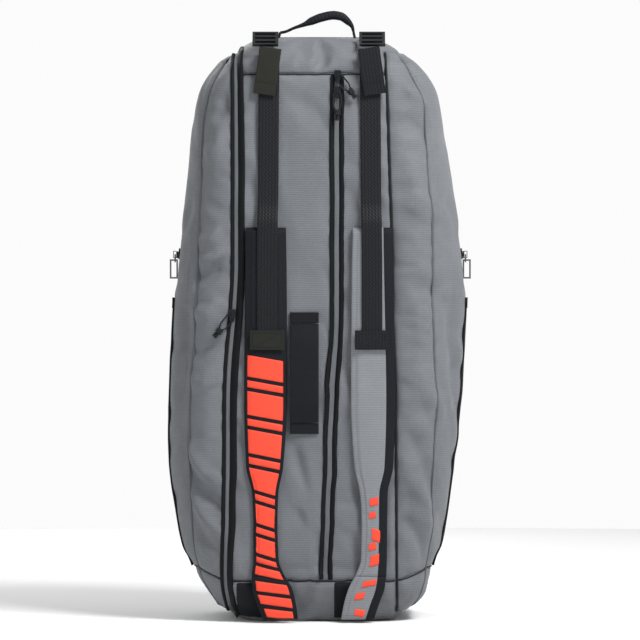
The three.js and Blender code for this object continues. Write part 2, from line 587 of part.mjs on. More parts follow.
function addStrap(side) {
  const away = side === "left" ? -1 : 1;
  const middle = strapX(away);
  const [x0, x1] = [middle - WEBBING_WIDTH / 2, middle + WEBBING_WIDTH / 2];
  const lowest = PAD_OUTLINE[0][0];
  const padCloth = side === "left" ? blackCloth : strapCloth;
  add(`${side}_pad_end`, plate(padPoints(away, lowest, PAD_JOIN_Z - GAP), padFront, padBack), padCloth);
  add(`${side}_shoulder_pad`, plate(padPoints(away, PAD_JOIN_Z, PAD_TOP_Z), padFront, padBack), padCloth);

  const overPad = [
    [webbingOnPad, WEBBING_END_Z],
    [webbingOnPad, PAD_TOP_Z + PAD_STEP],
    [webbingOnFront, PAD_TOP_Z + PAD_STEP_END],
    [webbingOnFront, webbingJoinZ - GAP],
  ];
  const barLow = WEBBING_END_Z - BAR_DROP;
  const bar = block(
    [middle - BAR_LENGTH / 2, middle + BAR_LENGTH / 2],
    [webbingOnPad - BAR_THICKNESS, webbingOnPad],
    [barLow, barLow + BAR_HEIGHT],
  );
  add(`${side}_strap_webbing`, solid(strip(overPad, WEBBING_THICKNESS, x0, x1)).add(bar), webbing);
  const lean = WEBBING_LEAN.map(([back, up]) => [webbingOnFront + back, TOP_SEAM_Z + up]);
  const toLock = [[webbingOnFront, webbingJoinZ], ...lean];
  add(`${side}_upper_webbing`, strip(toLock, WEBBING_THICKNESS, x0, x1), webbing);

  // The ladder lock: a frame of four bars, leaning back over the top edge.
  const half = LOCK_WIDTH / 2;
  const slot = (low, high) => rectangle(-half + LOCK_BAR, half - LOCK_BAR, low, high).reverse();
  const third = LOCK_HEIGHT / 3;
  const slots = [0, 1, 2].map((i) => slot(i * third + LOCK_BAR / 2, (i + 1) * third - LOCK_BAR / 2));
  const frame = rectangle(-half, half, -LOCK_BAR / 4, LOCK_HEIGHT + LOCK_BAR / 4);
  const lock = add(`${side}_ladder_lock`, plate(frame, -LOCK_THICKNESS, 0, slots), plastic);
  lock.position.set(middle, webbingOnFront + LOCK_BACK, TOP_SEAM_Z + LOCK_RISE);
  lock.rotation.x = LOCK_LEAN;

  // The sewn tab that holds the lock, and the free tail that hangs in front of the webbing.
  const tabStart = webbingOnFront + TAB_BACK;
  const tab = [
    [tabStart, BODY_HEIGHT + GAP + TAB_RISE],
    [tabStart + TAB_LENGTH, BODY_HEIGHT + GAP],
  ];
  add(`${side}_anchor_tab`, strip(tab, WEBBING_THICKNESS, x0, x1), webbing);
  const tailX = -away * TAIL_SHIFT;
  const tail = plate(
    rectangle(-WEBBING_WIDTH / 2 + tailX, WEBBING_WIDTH / 2 + tailX, -TAIL_LENGTH, 0),
    -WEBBING_THICKNESS,
    0,
  );
  const tailMesh = add(`${side}_webbing_tail`, tail, webbing);
  tailMesh.position.set(middle, webbingOnFront - WEBBING_THICKNESS - TAIL_PROUD, TOP_SEAM_Z + TAIL_RISE);
  tailMesh.rotation.y = -away * TAIL_LEAN;
}
addStrap("left");
addStrap("right");

// ---------------------------------------------------------------- handles
function handleSolid() {
  const points = HANDLE_PATH.map(([along, up]) => {
    const x = HANDLE_LEFT_X + along * (HANDLE_RIGHT_X - HANDLE_LEFT_X);
    return new THREE.Vector3(x, HANDLE_Y, BODY_HEIGHT + HANDLE_FOOT + up * (HANDLE_RISE - HANDLE_FOOT));
  });
  const path = new THREE.CatmullRomCurve3(points);
  const section = new THREE.Shape();
  section.absellipse(0, 0, HANDLE_WIDTH / 2, HANDLE_THICKNESS / 2, 0, Math.PI * 2);
  const options = { extrudePath: path, steps: 24, curveSegments: 6, bevelEnabled: false };
  return new THREE.ExtrudeGeometry(section, options);
}
add("top_handle", handleSolid(), webbing);

const grabFace = -FRONT_REACH - GAP;
const grabX = [GRAB_X - GRAB_WIDTH / 2, GRAB_X + GRAB_WIDTH / 2];
const grabTabY = [grabFace - GRAB_THICKNESS, grabFace];
const upperTabZ = GRAB_HIGH_Z - GRAB_TAB;
const lowerTabZ = GRAB_LOW_Z + GRAB_TAB;
add("grab_handle_upper_end", plate(rectangle(...grabX, upperTabZ, GRAB_HIGH_Z), ...grabTabY), webbing);
add("grab_handle_lower_end", plate(rectangle(...grabX, GRAB_LOW_Z, lowerTabZ), ...grabTabY), webbing);
const grabBow = grabFace - GRAB_BOW + GRAB_THICKNESS;
const grabEndGap = GAP + GRAB_THICKNESS / 2; // the slanting ends need this much to clear the tabs
const grabPath = [
  [grabFace, lowerTabZ + grabEndGap],
  [grabBow, lowerTabZ + GRAB_BOW_RUN],
  [grabBow, upperTabZ - GRAB_BOW_RUN],
  [grabFace, upperTabZ - grabEndGap],
];
add("grab_handle", strip(grabPath, GRAB_THICKNESS, ...grabX), webbing);

export default bag;
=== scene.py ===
import math

import bmesh
import bpy
import numpy as np
from mathutils import Matrix, Vector, noise
from mathutils.bvhtree import BVHTree


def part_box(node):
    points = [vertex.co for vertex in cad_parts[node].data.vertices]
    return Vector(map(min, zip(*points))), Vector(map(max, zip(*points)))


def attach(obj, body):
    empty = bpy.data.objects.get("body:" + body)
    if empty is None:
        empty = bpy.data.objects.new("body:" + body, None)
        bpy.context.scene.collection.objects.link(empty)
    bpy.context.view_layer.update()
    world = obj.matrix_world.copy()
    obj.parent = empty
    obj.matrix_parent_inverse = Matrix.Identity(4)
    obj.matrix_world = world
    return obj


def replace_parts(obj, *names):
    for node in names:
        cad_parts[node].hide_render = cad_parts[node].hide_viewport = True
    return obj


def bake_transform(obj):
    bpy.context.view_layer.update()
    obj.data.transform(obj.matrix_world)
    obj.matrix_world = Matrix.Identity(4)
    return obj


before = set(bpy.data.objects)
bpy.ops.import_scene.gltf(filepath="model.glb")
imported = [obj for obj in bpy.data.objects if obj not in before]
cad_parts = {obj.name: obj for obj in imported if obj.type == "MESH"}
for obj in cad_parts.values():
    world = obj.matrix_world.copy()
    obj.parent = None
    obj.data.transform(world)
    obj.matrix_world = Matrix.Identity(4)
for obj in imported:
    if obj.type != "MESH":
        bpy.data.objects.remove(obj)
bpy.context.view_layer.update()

bpy.ops.object.select_all(action="DESELECT")
scene = bpy.context.scene
MM = 0.001

# ------------------------------------------------------------------ camera, light and floor
# A long lens six metres off, level with the middle of the bag.
VIEW_CENTRE = (2.6, -158.0, 396.0)
VIEW_WIDTH = 838.0
VIEW_DISTANCE = 6000.0
camera_data = bpy.data.cameras.new("camera")
camera = bpy.data.objects.new("camera", camera_data)
scene.collection.objects.link(camera)
camera.location = Vector(VIEW_CENTRE) * MM + Vector((0, -VIEW_DISTANCE * MM, 0))
camera.rotation_euler = (math.radians(90), 0, 0)
camera_data.lens = camera_data.sensor_width * VIEW_DISTANCE / VIEW_WIDTH
camera_data.clip_end = 100
scene.camera = camera
scene.view_settings.view_transform = "Standard"


def linear(code, alpha=1.0):
    """An sRGB hex colour as the linear numbers that a shader takes."""
    channels = [int(code[i : i + 2], 16) / 255 for i in (1, 3, 5)]
    return tuple(c / 12.92 if c <= 0.04045 else ((c + 0.055) / 1.055) ** 2.4 for c in channels) + (alpha,)


def add(tree, kind, feeds=None, **settings):
    """A node with its settings, its inputs set to values or linked to other nodes' outputs."""
    made = tree.nodes.new(kind)
    for key, value in settings.items():
        setattr(made, key, value)
    for name, value in (feeds or {}).items():
        if isinstance(value, bpy.types.NodeSocket):
            tree.links.new(value, made.inputs[name])
        else:
            made.inputs[name].default_value = value
    return made


# Brightness of the white walls and of the ceiling, and the heights between which one turns into the other.
WALL_LIGHT, CEILING_LIGHT = 0.97, 0.3
WALL_TOP, CEILING_START = 0.14, 0.5
world = bpy.data.worlds.new("studio")
scene.world = world
world.use_nodes = True
# A white cyclorama all round, and a dimmer ceiling, so that the soft lights shape the folds.
sky = world.node_tree
way = add(sky, "ShaderNodeSeparateXYZ", {"Vector": add(sky, "ShaderNodeTexCoord").outputs["Normal"]})
height = add(sky, "ShaderNodeMath", {0: way.outputs["Z"]}, operation="ABSOLUTE")
wall = add(sky, "ShaderNodeMapRange", {"Value": height.outputs[0], "From Min": WALL_TOP, "From Max": CEILING_START,
                                       "To Min": WALL_LIGHT, "To Max": CEILING_LIGHT})
sky.nodes["Background"].inputs["Color"].default_value = (1, 1, 1, 1)
sky.links.new(wall.outputs[0], sky.nodes["Background"].inputs["Strength"])

LIGHT_TARGET = Vector((0, 0, 0.4))
# [name, place in m, size in m, power in W]
LIGHTS = [
    ("key_light", (1.05, -1.3, 2.15), 0.8, 74),
    ("fill_light", (-2.2, -2.4, 1.6), 2.2, 9),
    ("rear_light", (-0.8, 2.4, 2.2), 2.0, 46),
]
for name, place, size, power in LIGHTS:
    light_data = bpy.data.lights.new(name, "AREA")
    light_data.size, light_data.energy = size, power
    light = bpy.data.objects.new(name, light_data)
    scene.collection.objects.link(light)
    light.location = place
    light.rotation_euler = (LIGHT_TARGET - Vector(place)).to_track_quat("-Z", "Y").to_euler()


def new_material(name, base, roughness, metallic=0.0, sheen=0.0):
    """A Principled material with its plain values, and its tree and shader for more."""
    made = bpy.data.materials.new(name)
    made.use_nodes = True
    tree = made.node_tree
    shader = tree.nodes["Principled BSDF"]
    shader.inputs["Base Color"].default_value = linear(base)
    shader.inputs["Roughness"].default_value = roughness
    shader.inputs["Metallic"].default_value = metallic
    shader.inputs["Sheen Weight"].default_value = sheen
    made.diffuse_color = linear(base)
    return made, tree, shader


FLOOR_RADIUS, FLOOR_DROP = 2.6, 0.0005  # in m; the drop keeps the floor clear of the base
floor_paper, tree, shader = new_material("matt_paper_backdrop", "#f8f8f8", 0.95)
bpy.ops.mesh.primitive_circle_add(vertices=96, radius=FLOOR_RADIUS, fill_type="NGON", location=(0, 0, -FLOOR_DROP))
floor = bpy.context.object
floor.name = "floor"
floor.data.materials.append(floor_paper)

# ------------------------------------------------------------------ materials
CLOTH_GLOSS = 0.09  # woven cloth shades its own gloss, between its threads
WAVE = 2 * math.pi / 20  # length of one band of a Wave texture at scale 1


def woven(name, light, dark, rib, warp, roughness, sheen, depth, coordinate="UV"):
    """Woven cloth: ribs of rib mm across, warp threads of warp mm, and a slow change of tone."""
    made, tree, shader = new_material(name, light, roughness, sheen=sheen)
    shader.inputs["Specular IOR Level"].default_value = CLOTH_GLOSS
    place = add(tree, "ShaderNodeTexCoord").outputs[coordinate]
    ribs = add(tree, "ShaderNodeTexWave", {"Vector": place, "Scale": WAVE / (rib * MM), "Distortion": 0.0},
               wave_type="BANDS", bands_direction="Y", wave_profile="SIN")
    threads = add(tree, "ShaderNodeTexWave", {"Vector": place, "Scale": WAVE / (warp * MM), "Distortion": 0.6},
                  wave_type="BANDS", bands_direction="X", wave_profile="SIN")
    slub = add(tree, "ShaderNodeTexNoise", {"Vector": place, "Scale": 260.0, "Detail": 3.0})
    tone = add(tree, "ShaderNodeTexNoise", {"Vector": place, "Scale": 9.0, "Detail": 4.0, "Roughness": 0.6})
    weave = add(tree, "ShaderNodeMath", {0: ribs.outputs["Fac"], 1: 0.26, 2: 0.18}, operation="MULTIPLY_ADD")
    warps = add(tree, "ShaderNodeMath", {0: threads.outputs["Fac"], 1: 0.22, 2: weave.outputs[0]},
                operation="MULTIPLY_ADD")
    whole = add(tree, "ShaderNodeMath", {0: slub.outputs["Fac"], 1: 0.3, 2: warps.outputs[0]},
                operation="MULTIPLY_ADD")
    shade = add(tree, "ShaderNodeMath", {0: tone.outputs["Fac"], 1: 0.55, 2: whole.outputs[0]},
                operation="MULTIPLY_ADD")
    span = add(tree, "ShaderNodeMapRange", {"Value": shade.outputs[0], "From Min": 0.35, "From Max": 1.35})
    colour = add(tree, "ShaderNodeMix", {0: span.outputs[0], 6: linear(dark), 7: linear(light)}, data_type="RGBA")
    bump = add(tree, "ShaderNodeBump", {"Height": whole.outputs[0], "Distance": depth * MM, "Strength": 0.7})
    tree.links.new(colour.outputs[2], shader.inputs["Base Color"])
    tree.links.new(bump.outputs[0], shader.inputs["Normal"])
    return made


# Ribbed 600D polyester, woven and coated: ribs a few threads wide give a soft horizontal sheen.
grey_cloth = woven("ribbed_polyester_grey", "#74777b", "#525559", 2.9, 1.4, 0.55, 0.1, 0.5)
# Plain polyester lining behind the foam, matt.
lining_cloth = woven("plain_polyester_lining", "#4a4d51", "#3b3e42", 1.6, 1.6, 0.8, 0.05, 0.15)
# Black polyester of the pockets and straps.
black_cloth = woven("plain_polyester_black", "#1d1f23", "#101215", 2.2, 1.4, 0.7, 0.02, 0.35)
# Zip tape: tightly woven, flat and black.
tape_cloth = woven("zip_tape_black", "#16171a", "#0c0d0f", 1.6, 1.2, 0.6, 0.02, 0.2)
# The water flap over the coil is cut from the body's grey cloth.
flap_cloth = woven("ribbed_polyester_flap", "#65686c", "#505357", 2.4, 1.4, 0.6, 0.12, 0.3)
# Corded piping: cloth wrapped round a cord.
piping_cloth = woven("piping_binding_black", "#212326", "#141517", 1.6, 1.6, 0.6, 0.05, 0.2)

# ------------------------------------------------------------------ the body's shape
# Height, and reach to the left, right, front and rear, in mm.
OUTLINE = np.array([
    (0, 89, 84, 118, 108),
    (6, 113, 108, 133, 121),
    (27.6, 141, 142, 150, 141),
    (53.7, 163, 150, 156.5, 152),
    (134, 182, 166, 157.5, 160),
    (238, 194, 179, 157.5, 160),
    (322, 192, 187.5, 157.5, 160),
    (427, 187, 192.5, 157.5, 160),
    (506, 180, 186, 157.5, 159),
    (568, 172, 176.5, 157.5, 156),
    (637, 166, 165.5, 157.5, 149),
    (693, 155, 155, 157.5, 136),
    (732, 130, 131, 155.5, 120),
    (751, 108.5, 110, 143.8, 103),
    (760, 92, 93, 129, 90),
    (764.5, 75, 76, 111, 79),
], float)
CORNER = 70.0  # radius of the body's upright corners
CORNER_SHARE = 0.48  # most of the body's width or depth that a corner's radius takes
ARC_POINTS = 25


def smooth_rows(table, z):
    """A smooth curve through a table's rows: first column against the others."""
    x, y = table[:, 0], table[:, 1:]
    slope = np.diff(y, axis=0) / np.diff(x)[:, None]
    inner = np.where(slope[:-1] * slope[1:] > 0, 2 * slope[:-1] * slope[1:] / (slope[:-1] + slope[1:] + 1e-12), 0)
    tangent = np.vstack([slope[:1], inner, slope[-1:]])
    z = np.clip(np.atleast_1d(np.asarray(z, float)), x[0], x[-1])
    i = np.clip(np.searchsorted(x, z) - 1, 0, len(x) - 2)
    h = (x[i + 1] - x[i])[:, None]
    t = ((z - x[i])[:, None]) / h
    return ((2 * t**3 - 3 * t**2 + 1) * y[i] + (t**3 - 2 * t**2 + t) * h * tangent[i]
            + (-2 * t**3 + 3 * t**2) * y[i + 1] + (t**3 - t**2) * h * tangent[i + 1])


# X of the left compartment's zip, the centre zip and the right piping, by height.
LEFT_ZIP = np.array([(0, -112), (14, -113), (33, -118), (59, -121), (160, -119), (212, -118.5), (304, -118),
                     (422, -109.4), (470, -107.3), (583, -107), (690, -107), (720, -107), (751, -106.5),
                     (764.5, -106)], float)
CENTRE_ZIP = np.array([(0, 9), (55, 10), (232, 16), (310, 20), (409, 25), (700, 25.5), (764.5, 25.5)], float)
RIGHT_PIPING = np.array([(0, 104), (120, 103), (300, 102), (400, 98), (474, 97.5), (607, 93), (684, 91),
                         (740, 88.5), (764.5, 88)], float)
REAR_RIGHT, REAR_LEFT = 104.0, -112.0
BASE_SEAM, TOP_SEAM, COVER_LOW, COVER_HIGH = 54.0, 718.5, 9.5, 751.0
SEAM_INSET = 0.6  # a seam stays this far inside the body's widest point
# Width of a gusset, and what it loses towards the shoulder and towards the foot.
GUSSET, SHOULDER_LOSS, FOOT_LOSS = 55, 30, 18
SHOULDER_LOW, FOOT_HIGH, FOOT_BAND = 640, 60, 50
SIDE_CLIMB, CLIMB_BAND = 15, 34  # rise of the base seam at the sides, and how far up the skin follows it
STEP = 8.0  # between two rows of the skin
# Columns of the eight strips round the bag, the front one in two parts: left of the centre zip and right of it.
COUNTS = [16, 10, 7, 40, 7, 26, 7, 40, 7]
FRONT, SIDE = COUNTS[0] + COUNTS[1], COUNTS[2] + COUNTS[3] + COUNTS[4]
AROUND = 2 * (FRONT + SIDE)


def outline_path(z):
    """The body's plain outline at a height, from the front's middle round to it again, and the mm run to each point."""
    left, right, front, rear = smooth_rows(OUTLINE, z)[0]
    radius = min(CORNER, CORNER_SHARE * (left + right), CORNER_SHARE * (front + rear))
    arc = np.linspace(0, math.pi / 2, ARC_POINTS)
    path = [(0.0, -front)]
    for cx, cy, start in ((right - radius, -front + radius, -math.pi / 2), (right - radius, rear - radius, 0),
                          (-left + radius, rear - radius, math.pi / 2), (-left + radius, -front + radius, math.pi)):
        path += [(cx + radius * math.cos(start + a), cy + radius * math.sin(start + a)) for a in arc]
    path = np.array(path + [(0.0, -front)])
    return path, np.concatenate([[0], np.cumsum(np.hypot(*np.diff(path, axis=0).T))])


def outline_point(z, s):
    """The point of the body's plain outline at a height, s mm round it from the front's middle."""
    path, run = outline_path(z)
    s = s % run[-1]
    return Vector((np.interp(s, run, path[:, 0]), np.interp(s, run, path[:, 1]), z))


def ring(z, breaks_only=False):
    """The points round the body at a height, on the seams and evenly between them."""
    left, right = smooth_rows(OUTLINE, z)[0, :2]
    path, s = outline_path(z)
    total, n = s[-1], ARC_POINTS

    def at_x(x, first, last, rising):
        xs, ss = path[first:last, 0], s[first:last]
        return np.interp(x, xs, ss) if rising else np.interp(-x, -xs, ss)

    zip_x = smooth_rows(LEFT_ZIP, z)[0, 0]
    s_right = at_x(min(smooth_rows(RIGHT_PIPING, z)[0, 0], right - SEAM_INSET), 0, n + 1, True)
    s_rear_right = at_x(min(REAR_RIGHT, right - SEAM_INSET), n + 1, 2 * n + 1, False)
    s_rear_left = at_x(max(REAR_LEFT, -left + SEAM_INSET), 2 * n + 1, 3 * n + 1, False)
    s_left = at_x(max(zip_x, -left + SEAM_INSET), 3 * n + 1, 4 * n + 2, True) - total
    s_zip = smooth_rows(CENTRE_ZIP, z)[0, 0]
    ease = np.clip((z - SHOULDER_LOW) / (COVER_HIGH - SHOULDER_LOW), 0, 1)
    low = np.clip((FOOT_HIGH - z) / FOOT_BAND, 0, 1)
    gusset = GUSSET - SHOULDER_LOSS * ease**2 - FOOT_LOSS * low
    marks = [s_left, s_zip, s_right, s_right + gusset, s_rear_right - gusset, s_rear_right, s_rear_left,
             s_rear_left + gusset, s_left + total - gusset, s_left + total]
    if breaks_only:
        return marks
    stops = np.concatenate([np.linspace(a, b, k, endpoint=False) for a, b, k in zip(marks, marks[1:], COUNTS)])
    around = np.mod(stops, total)
    return np.stack([np.interp(around, s, path[:, 0]), np.interp(around, s, path[:, 1])], 1), stops


fine = np.linspace(OUTLINE[0, 0], OUTLINE[-1, 0], 3000)
sides = smooth_rows(OUTLINE, fine)
rise = np.hypot(np.diff(fine), np.maximum(np.abs(np.diff(sides[:, 0])), np.abs(np.diff(sides[:, 2]))))
climb = np.concatenate([[0], np.cumsum(rise)])
row_count = int(round(climb[-1] / STEP)) + 1
ROWS = np.interp(np.linspace(0, climb[-1], row_count), climb, fine)
SEAM_ROWS = {}
for seam in (COVER_LOW, BASE_SEAM, TOP_SEAM, COVER_HIGH):
    nearest = int(np.argmin(np.abs(ROWS - seam)))
    ROWS[nearest] = seam
    SEAM_ROWS[seam] = nearest
row_low, row_base, row_top, row_high = (SEAM_ROWS[s] for s in (COVER_LOW, BASE_SEAM, TOP_SEAM, COVER_HIGH))

grid = np.array([(x, y, z) for z in ROWS for x, y in ring(z)[0]]).reshape(row_count, AROUND, 3)

# The seam round the foot climbs towards the sides.
marks = np.cumsum([0] + COUNTS)
column = np.arange(AROUND)
climb_share = np.zeros(AROUND)
for start, end, a, b in ((marks[2], marks[3], 0, 1), (marks[3], marks[4], 1, 1), (marks[4], marks[5], 1, 0),
                         (marks[6], marks[7], 0, 1), (marks[7], marks[8], 1, 1), (marks[8], marks[9], 1, 0)):
    inside = (column >= start) & (column < end)
    climb_share[inside] = a + (b - a) * (column[inside] - start) / (end - start)
window = np.exp(-(((grid[:, :, 2] - BASE_SEAM) / CLIMB_BAND) ** 2)) * (grid[:, :, 2] > 0)
grid[:, :, 2] += SIDE_CLIMB * window * climb_share[None, :]


def cap(level, bulge):
    """Fills a ring with a grid of points from the front to the rear, and returns it whole."""
    front = np.vstack([level[:FRONT], level[FRONT : FRONT + 1]])
    right = level[FRONT : FRONT + SIDE + 1]
    rear = level[FRONT + SIDE : 2 * FRONT + SIDE + 1][::-1]
    left = np.vstack([level[2 * FRONT + SIDE :], level[:1]])[::-1]
    u = np.linspace(0, 1, FRONT + 1)[None, :, None]
    v = np.linspace(0, 1, SIDE + 1)[:, None, None]
    patch = (1 - v) * front[None] + v * rear[None] + (1 - u) * left[:, None] + u * right[:, None]
    patch -= ((1 - u) * (1 - v) * front[0] + u * (1 - v) * front[-1] + (1 - u) * v * rear[0] + u * v * rear[-1])
    patch[:, :, 2] += bulge * (np.sin(math.pi * u) * np.sin(math.pi * v))[:, :, 0] ** 0.5
    return patch


vertices = grid.reshape(-1, 3).tolist()
PANELS = ["centre_front_panel_left", "centre_front_panel_right", "right_front_gusset", "right_outer_panel",
          "right_rear_gusset", "centre_rear_panel", "left_rear_gusset", "left_outer_panel", "left_front_gusset",
          "top_panel", "base_panel", "left_base_gusset", "right_base_gusset"]
TOP, BASE, LEFT_BASE, RIGHT_BASE = 9, 10, 11, 12
strip_of = np.repeat(np.arange(9), COUNTS)
faces, face_panel = [], []
for r in range(row_count - 1):
    for c in range(AROUND):
        d = (c + 1) % AROUND
        faces.append((r * AROUND + c, r * AROUND + d, (r + 1) * AROUND + d, (r + 1) * AROUND + c))
        k = strip_of[c]
        cover = k in (2, 3, 4, 6, 7, 8)
        if cover:
            panel = (TOP if r >= row_high else BASE if r < row_low else k if r >= row_base
                     else RIGHT_BASE if k < 5 else LEFT_BASE)
        else:
            panel = TOP if r >= row_top else BASE if r < row_base else k
        face_panel.append(panel)


def add_cap(row, bulge, upward, panel):
    """Closes the skin over its first or last row, with the row's own points as the rim."""
    patch = cap(grid[row], bulge)
    index = np.zeros((SIDE + 1, FRONT + 1), int)
    for i in range(SIDE + 1):
        for j in range(FRONT + 1):
            if i == 0:
                index[i, j] = row * AROUND + j
            elif i == SIDE:
                index[i, j] = row * AROUND + 2 * FRONT + SIDE - j
            elif j == FRONT:
                index[i, j] = row * AROUND + FRONT + i
            elif j == 0:
                index[i, j] = row * AROUND + (AROUND - i) % AROUND
            else:
                index[i, j] = len(vertices)
                vertices.append(patch[i, j].tolist())
    for i in range(SIDE):
        for j in range(FRONT):
            quad = (index[i, j], index[i, j + 1], index[i + 1, j + 1], index[i + 1, j])
            faces.append(quad if upward else quad[::-1])
            face_panel.append(panel)


TOP_BULGE, BASE_BULGE = 2.0, 0.6
add_cap(row_count - 1, TOP_BULGE, True, TOP)
add_cap(0, BASE_BULGE, False, BASE)
rest = np.array(vertices)
face_panel = np.array(face_panel)

# Distance from each point to the nearest seam, along the skin, in mm, found out to SPREADS points from it.
FAR_FROM_SEAM, SPREADS = 200.0, 14
quads = np.array(faces)
edges = {}
for number, quad in enumerate(quads):
    for a, b in zip(quad, np.roll(quad, -1)):
        edges.setdefault((min(a, b), max(a, b)), []).append(number)
on_seam = np.zeros(len(rest), bool)
neighbours = [[] for _ in range(len(rest))]
for (a, b), both in edges.items():
    length = float(np.linalg.norm(rest[a] - rest[b]))
    neighbours[a].append((b, length))
    neighbours[b].append((a, length))
    if len(both) == 2 and face_panel[both[0]] != face_panel[both[1]]:
        on_seam[a] = on_seam[b] = True
seam_distance = np.where(on_seam, 0.0, FAR_FROM_SEAM)
for _ in range(SPREADS):
    nearer = seam_distance.copy()
    for a, around in enumerate(neighbours):
        for b, length in around:
            if seam_distance[b] + length < nearer[a]:
                nearer[a] = seam_distance[b] + length
    seam_distance = nearer

# ------------------------------------------------------------------ the cloth swells between its seams
shell_mesh = bpy.data.meshes.new("shell")
shell_mesh.from_pydata((rest * MM).tolist(), [], [tuple(int(i) for i in q) for q in quads])
shell = bpy.data.objects.new("shell", shell_mesh)
scene.collection.objects.link(shell)
NEAR_SEAM, NEAR_HOLD = 10, 0.35  # mm from a seam in which the cloth is half held, and how firmly
CLOTH_FRAMES = 20
held = shell.vertex_groups.new(name="held")
held.add([int(i) for i in np.flatnonzero(on_seam)], 1.0, "REPLACE")
near = (seam_distance < NEAR_SEAM) & ~on_seam
held.add([int(i) for i in np.flatnonzero(near)], NEAR_HOLD, "REPLACE")
moved = rest.copy()
cloth = shell.modifiers.new("cloth", "CLOTH")
settings = cloth.settings
settings.quality = 6
settings.mass = 0.25
settings.tension_stiffness = settings.compression_stiffness = 12
settings.shear_stiffness = 6
settings.bending_stiffness = 1.2
settings.vertex_group_mass = "held"
settings.use_pressure = True
settings.uniform_pressure_force = 2.6
settings.shrink_min = -0.035
settings.effector_weights.gravity = 0
cloth.collision_settings.use_collision = False
for number in range(1, CLOTH_FRAMES + 1):
    scene.frame_set(number)
swollen = shell.evaluated_get(bpy.context.evaluated_depsgraph_get())
found = np.zeros(len(rest) * 3, np.float32)
swollen.data.vertices.foreach_get("co", found)
moved = found.reshape(-1, 3).astype(float) / MM
shell.modifiers.clear()
scene.frame_set(1)
shift = moved - rest
size = np.linalg.norm(shift, axis=1)
MOST, SIDE_SWELL = 9.0, 0.35  # furthest that a point may swell in mm, and the share of it that goes sideways
FLAT_HALF_WIDTH, FLAT_EDGE = 110, 25  # of the front's flat band, and how soft its edge is
FLAT_SWELL, FREE_SWELL = 2, 7  # how far the front may swell on that band, and how much further off it
shift *= np.minimum(1, MOST / np.maximum(size, 1e-6))[:, None]
# Behind the straps the front stays flat.
front_band = np.clip((FLAT_HALF_WIDTH - np.abs(rest[:, 0])) / FLAT_EDGE, 0, 1) * (rest[:, 1] < -120)
free_part = FREE_SWELL * (1 - front_band)
shift[:, 1] = np.where(shift[:, 1] < -FLAT_SWELL + free_part, np.maximum(shift[:, 1], -FLAT_SWELL - free_part),
                       shift[:, 1])
shift[:, 0] *= SIDE_SWELL
shaped = rest + shift
shell_mesh.vertices.foreach_set("co", (shaped * MM).astype(np.float32).ravel())
for name, values in (("seam_distance", seam_distance), ("rest_x", rest[:, 0]), ("rest_y", rest[:, 1]),
                     ("rest_z", rest[:, 2])):
    shell_mesh.attributes.new(name, "FLOAT", "POINT").data.foreach_set("value", values.astype(np.float32))
shell_mesh.attributes.new("panel", "INT", "FACE").data.foreach_set("value", face_panel.astype(np.int32))
finer = shell.modifiers.new("finer", "SUBSURF")
finer.levels = finer.render_levels = 1
bpy.context.view_layer.objects.active = shell
shell.select_set(True)
bpy.ops.object.modifier_apply(modifier="finer")
shell.select_set(False)

# ------------------------------------------------------------------ seams, puckers and folds
count = len(shell_mesh.vertices)


def read(mesh, name):
    """A number for each vertex, from one of the mesh's attributes."""
    values = np.zeros(len(mesh.vertices), np.float32)
    mesh.attributes[name].data.foreach_get("value", values)
    return values.astype(float)


def read_rows(mesh, what):
    """A vector for each vertex: its place in m, or its normal."""
    values = np.zeros(len(mesh.vertices) * 3, np.float32)
    mesh.vertices.foreach_get(what, values)
    return values.reshape(-1, 3).astype(float)


place = read_rows(shell_mesh, "co") / MM
normal = read_rows(shell_mesh, "normal")
away = read(shell_mesh, "seam_distance")
rest_fine = np.stack([read(shell_mesh, f"rest_{axis}") for axis in "xyz"], 1)
# Folds on the front and sides: [x, z] of both ends, height of the ridge (or depth, below 0) and half width, in mm.
# Their x is measured along the skin from the front's middle, so that it goes round the corners.
FOLDS = [
    (-128, 512, -172, 498, 3.2, 9), (-124, 470, -176, 452, -3.0, 9), (-122, 486, -170, 476, 2.4, 8),
    (-126, 418, -180, 404, 2.6, 10), (-130, 380, -182, 350, -2.4, 10), (-126, 330, -186, 318, 2.2, 12),
    (-130, 182, -186, 236, 3.4, 9), (-128, 150, -184, 204, -3.4, 9), (-130, 118, -182, 176, 3.0, 8),
    (-134, 92, -180, 140, -2.6, 8), (-130, 640, -164, 610, 2.4, 12), (-122, 690, -152, 660, -2.4, 10),
    (120, 700, 164, 664, 2.6, 10), (112, 664, 160, 628, -2.4, 11), (118, 560, 176, 520, 2.2, 16),
    (122, 440, 182, 420, -2.2, 14), (118, 330, 190, 250, 2.8, 15), (112, 250, 176, 160, -2.8, 13),
    (116, 200, 170, 104, 3.0, 12), (112, 140, 160, 74, -2.2, 9),
    (-36, 196, -6, 84, 3.0, 9), (-28, 150, 6, 66, -2.6, 8), (24, 200, 40, 92, 2.2, 9), (30, 130, 60, 62, -2.2, 9),
    (-34, 240, -20, 130, -2.0, 8), (-30, 560, -8, 460, 1.8, 16), (-34, 690, 10, 640, -1.8, 14),
    (36, 640, 52, 520, 1.6, 10), (-92, 300, -100, 110, 1.6, 6), (-2, 762, 6, 726, -3.6, 9),
    (-30, 762, -22, 730, 2.6, 11), (34, 764, 22, 726, 2.4, 11), (-46, 757, 44, 746, -2.0, 8),
    (188, 420, 214, 260, -4.0, 14), (196, 380, 236, 330, 3.4, 12), (190, 300, 230, 220, 3.0, 12),
    (196, 560, 230, 500, -3.0, 13), (-196, 560, -236, 500, -3.0, 13), (-192, 420, -214, 260, -3.6, 14),
]
FOLD_SCALE, FOLD_BEND = 2.9, 6
WAVE_HEIGHT, CREASE_HEIGHT, PUCKER_HEIGHT, SEAM_DEPTH = 3.2, 2.9, 1.5, 2.6
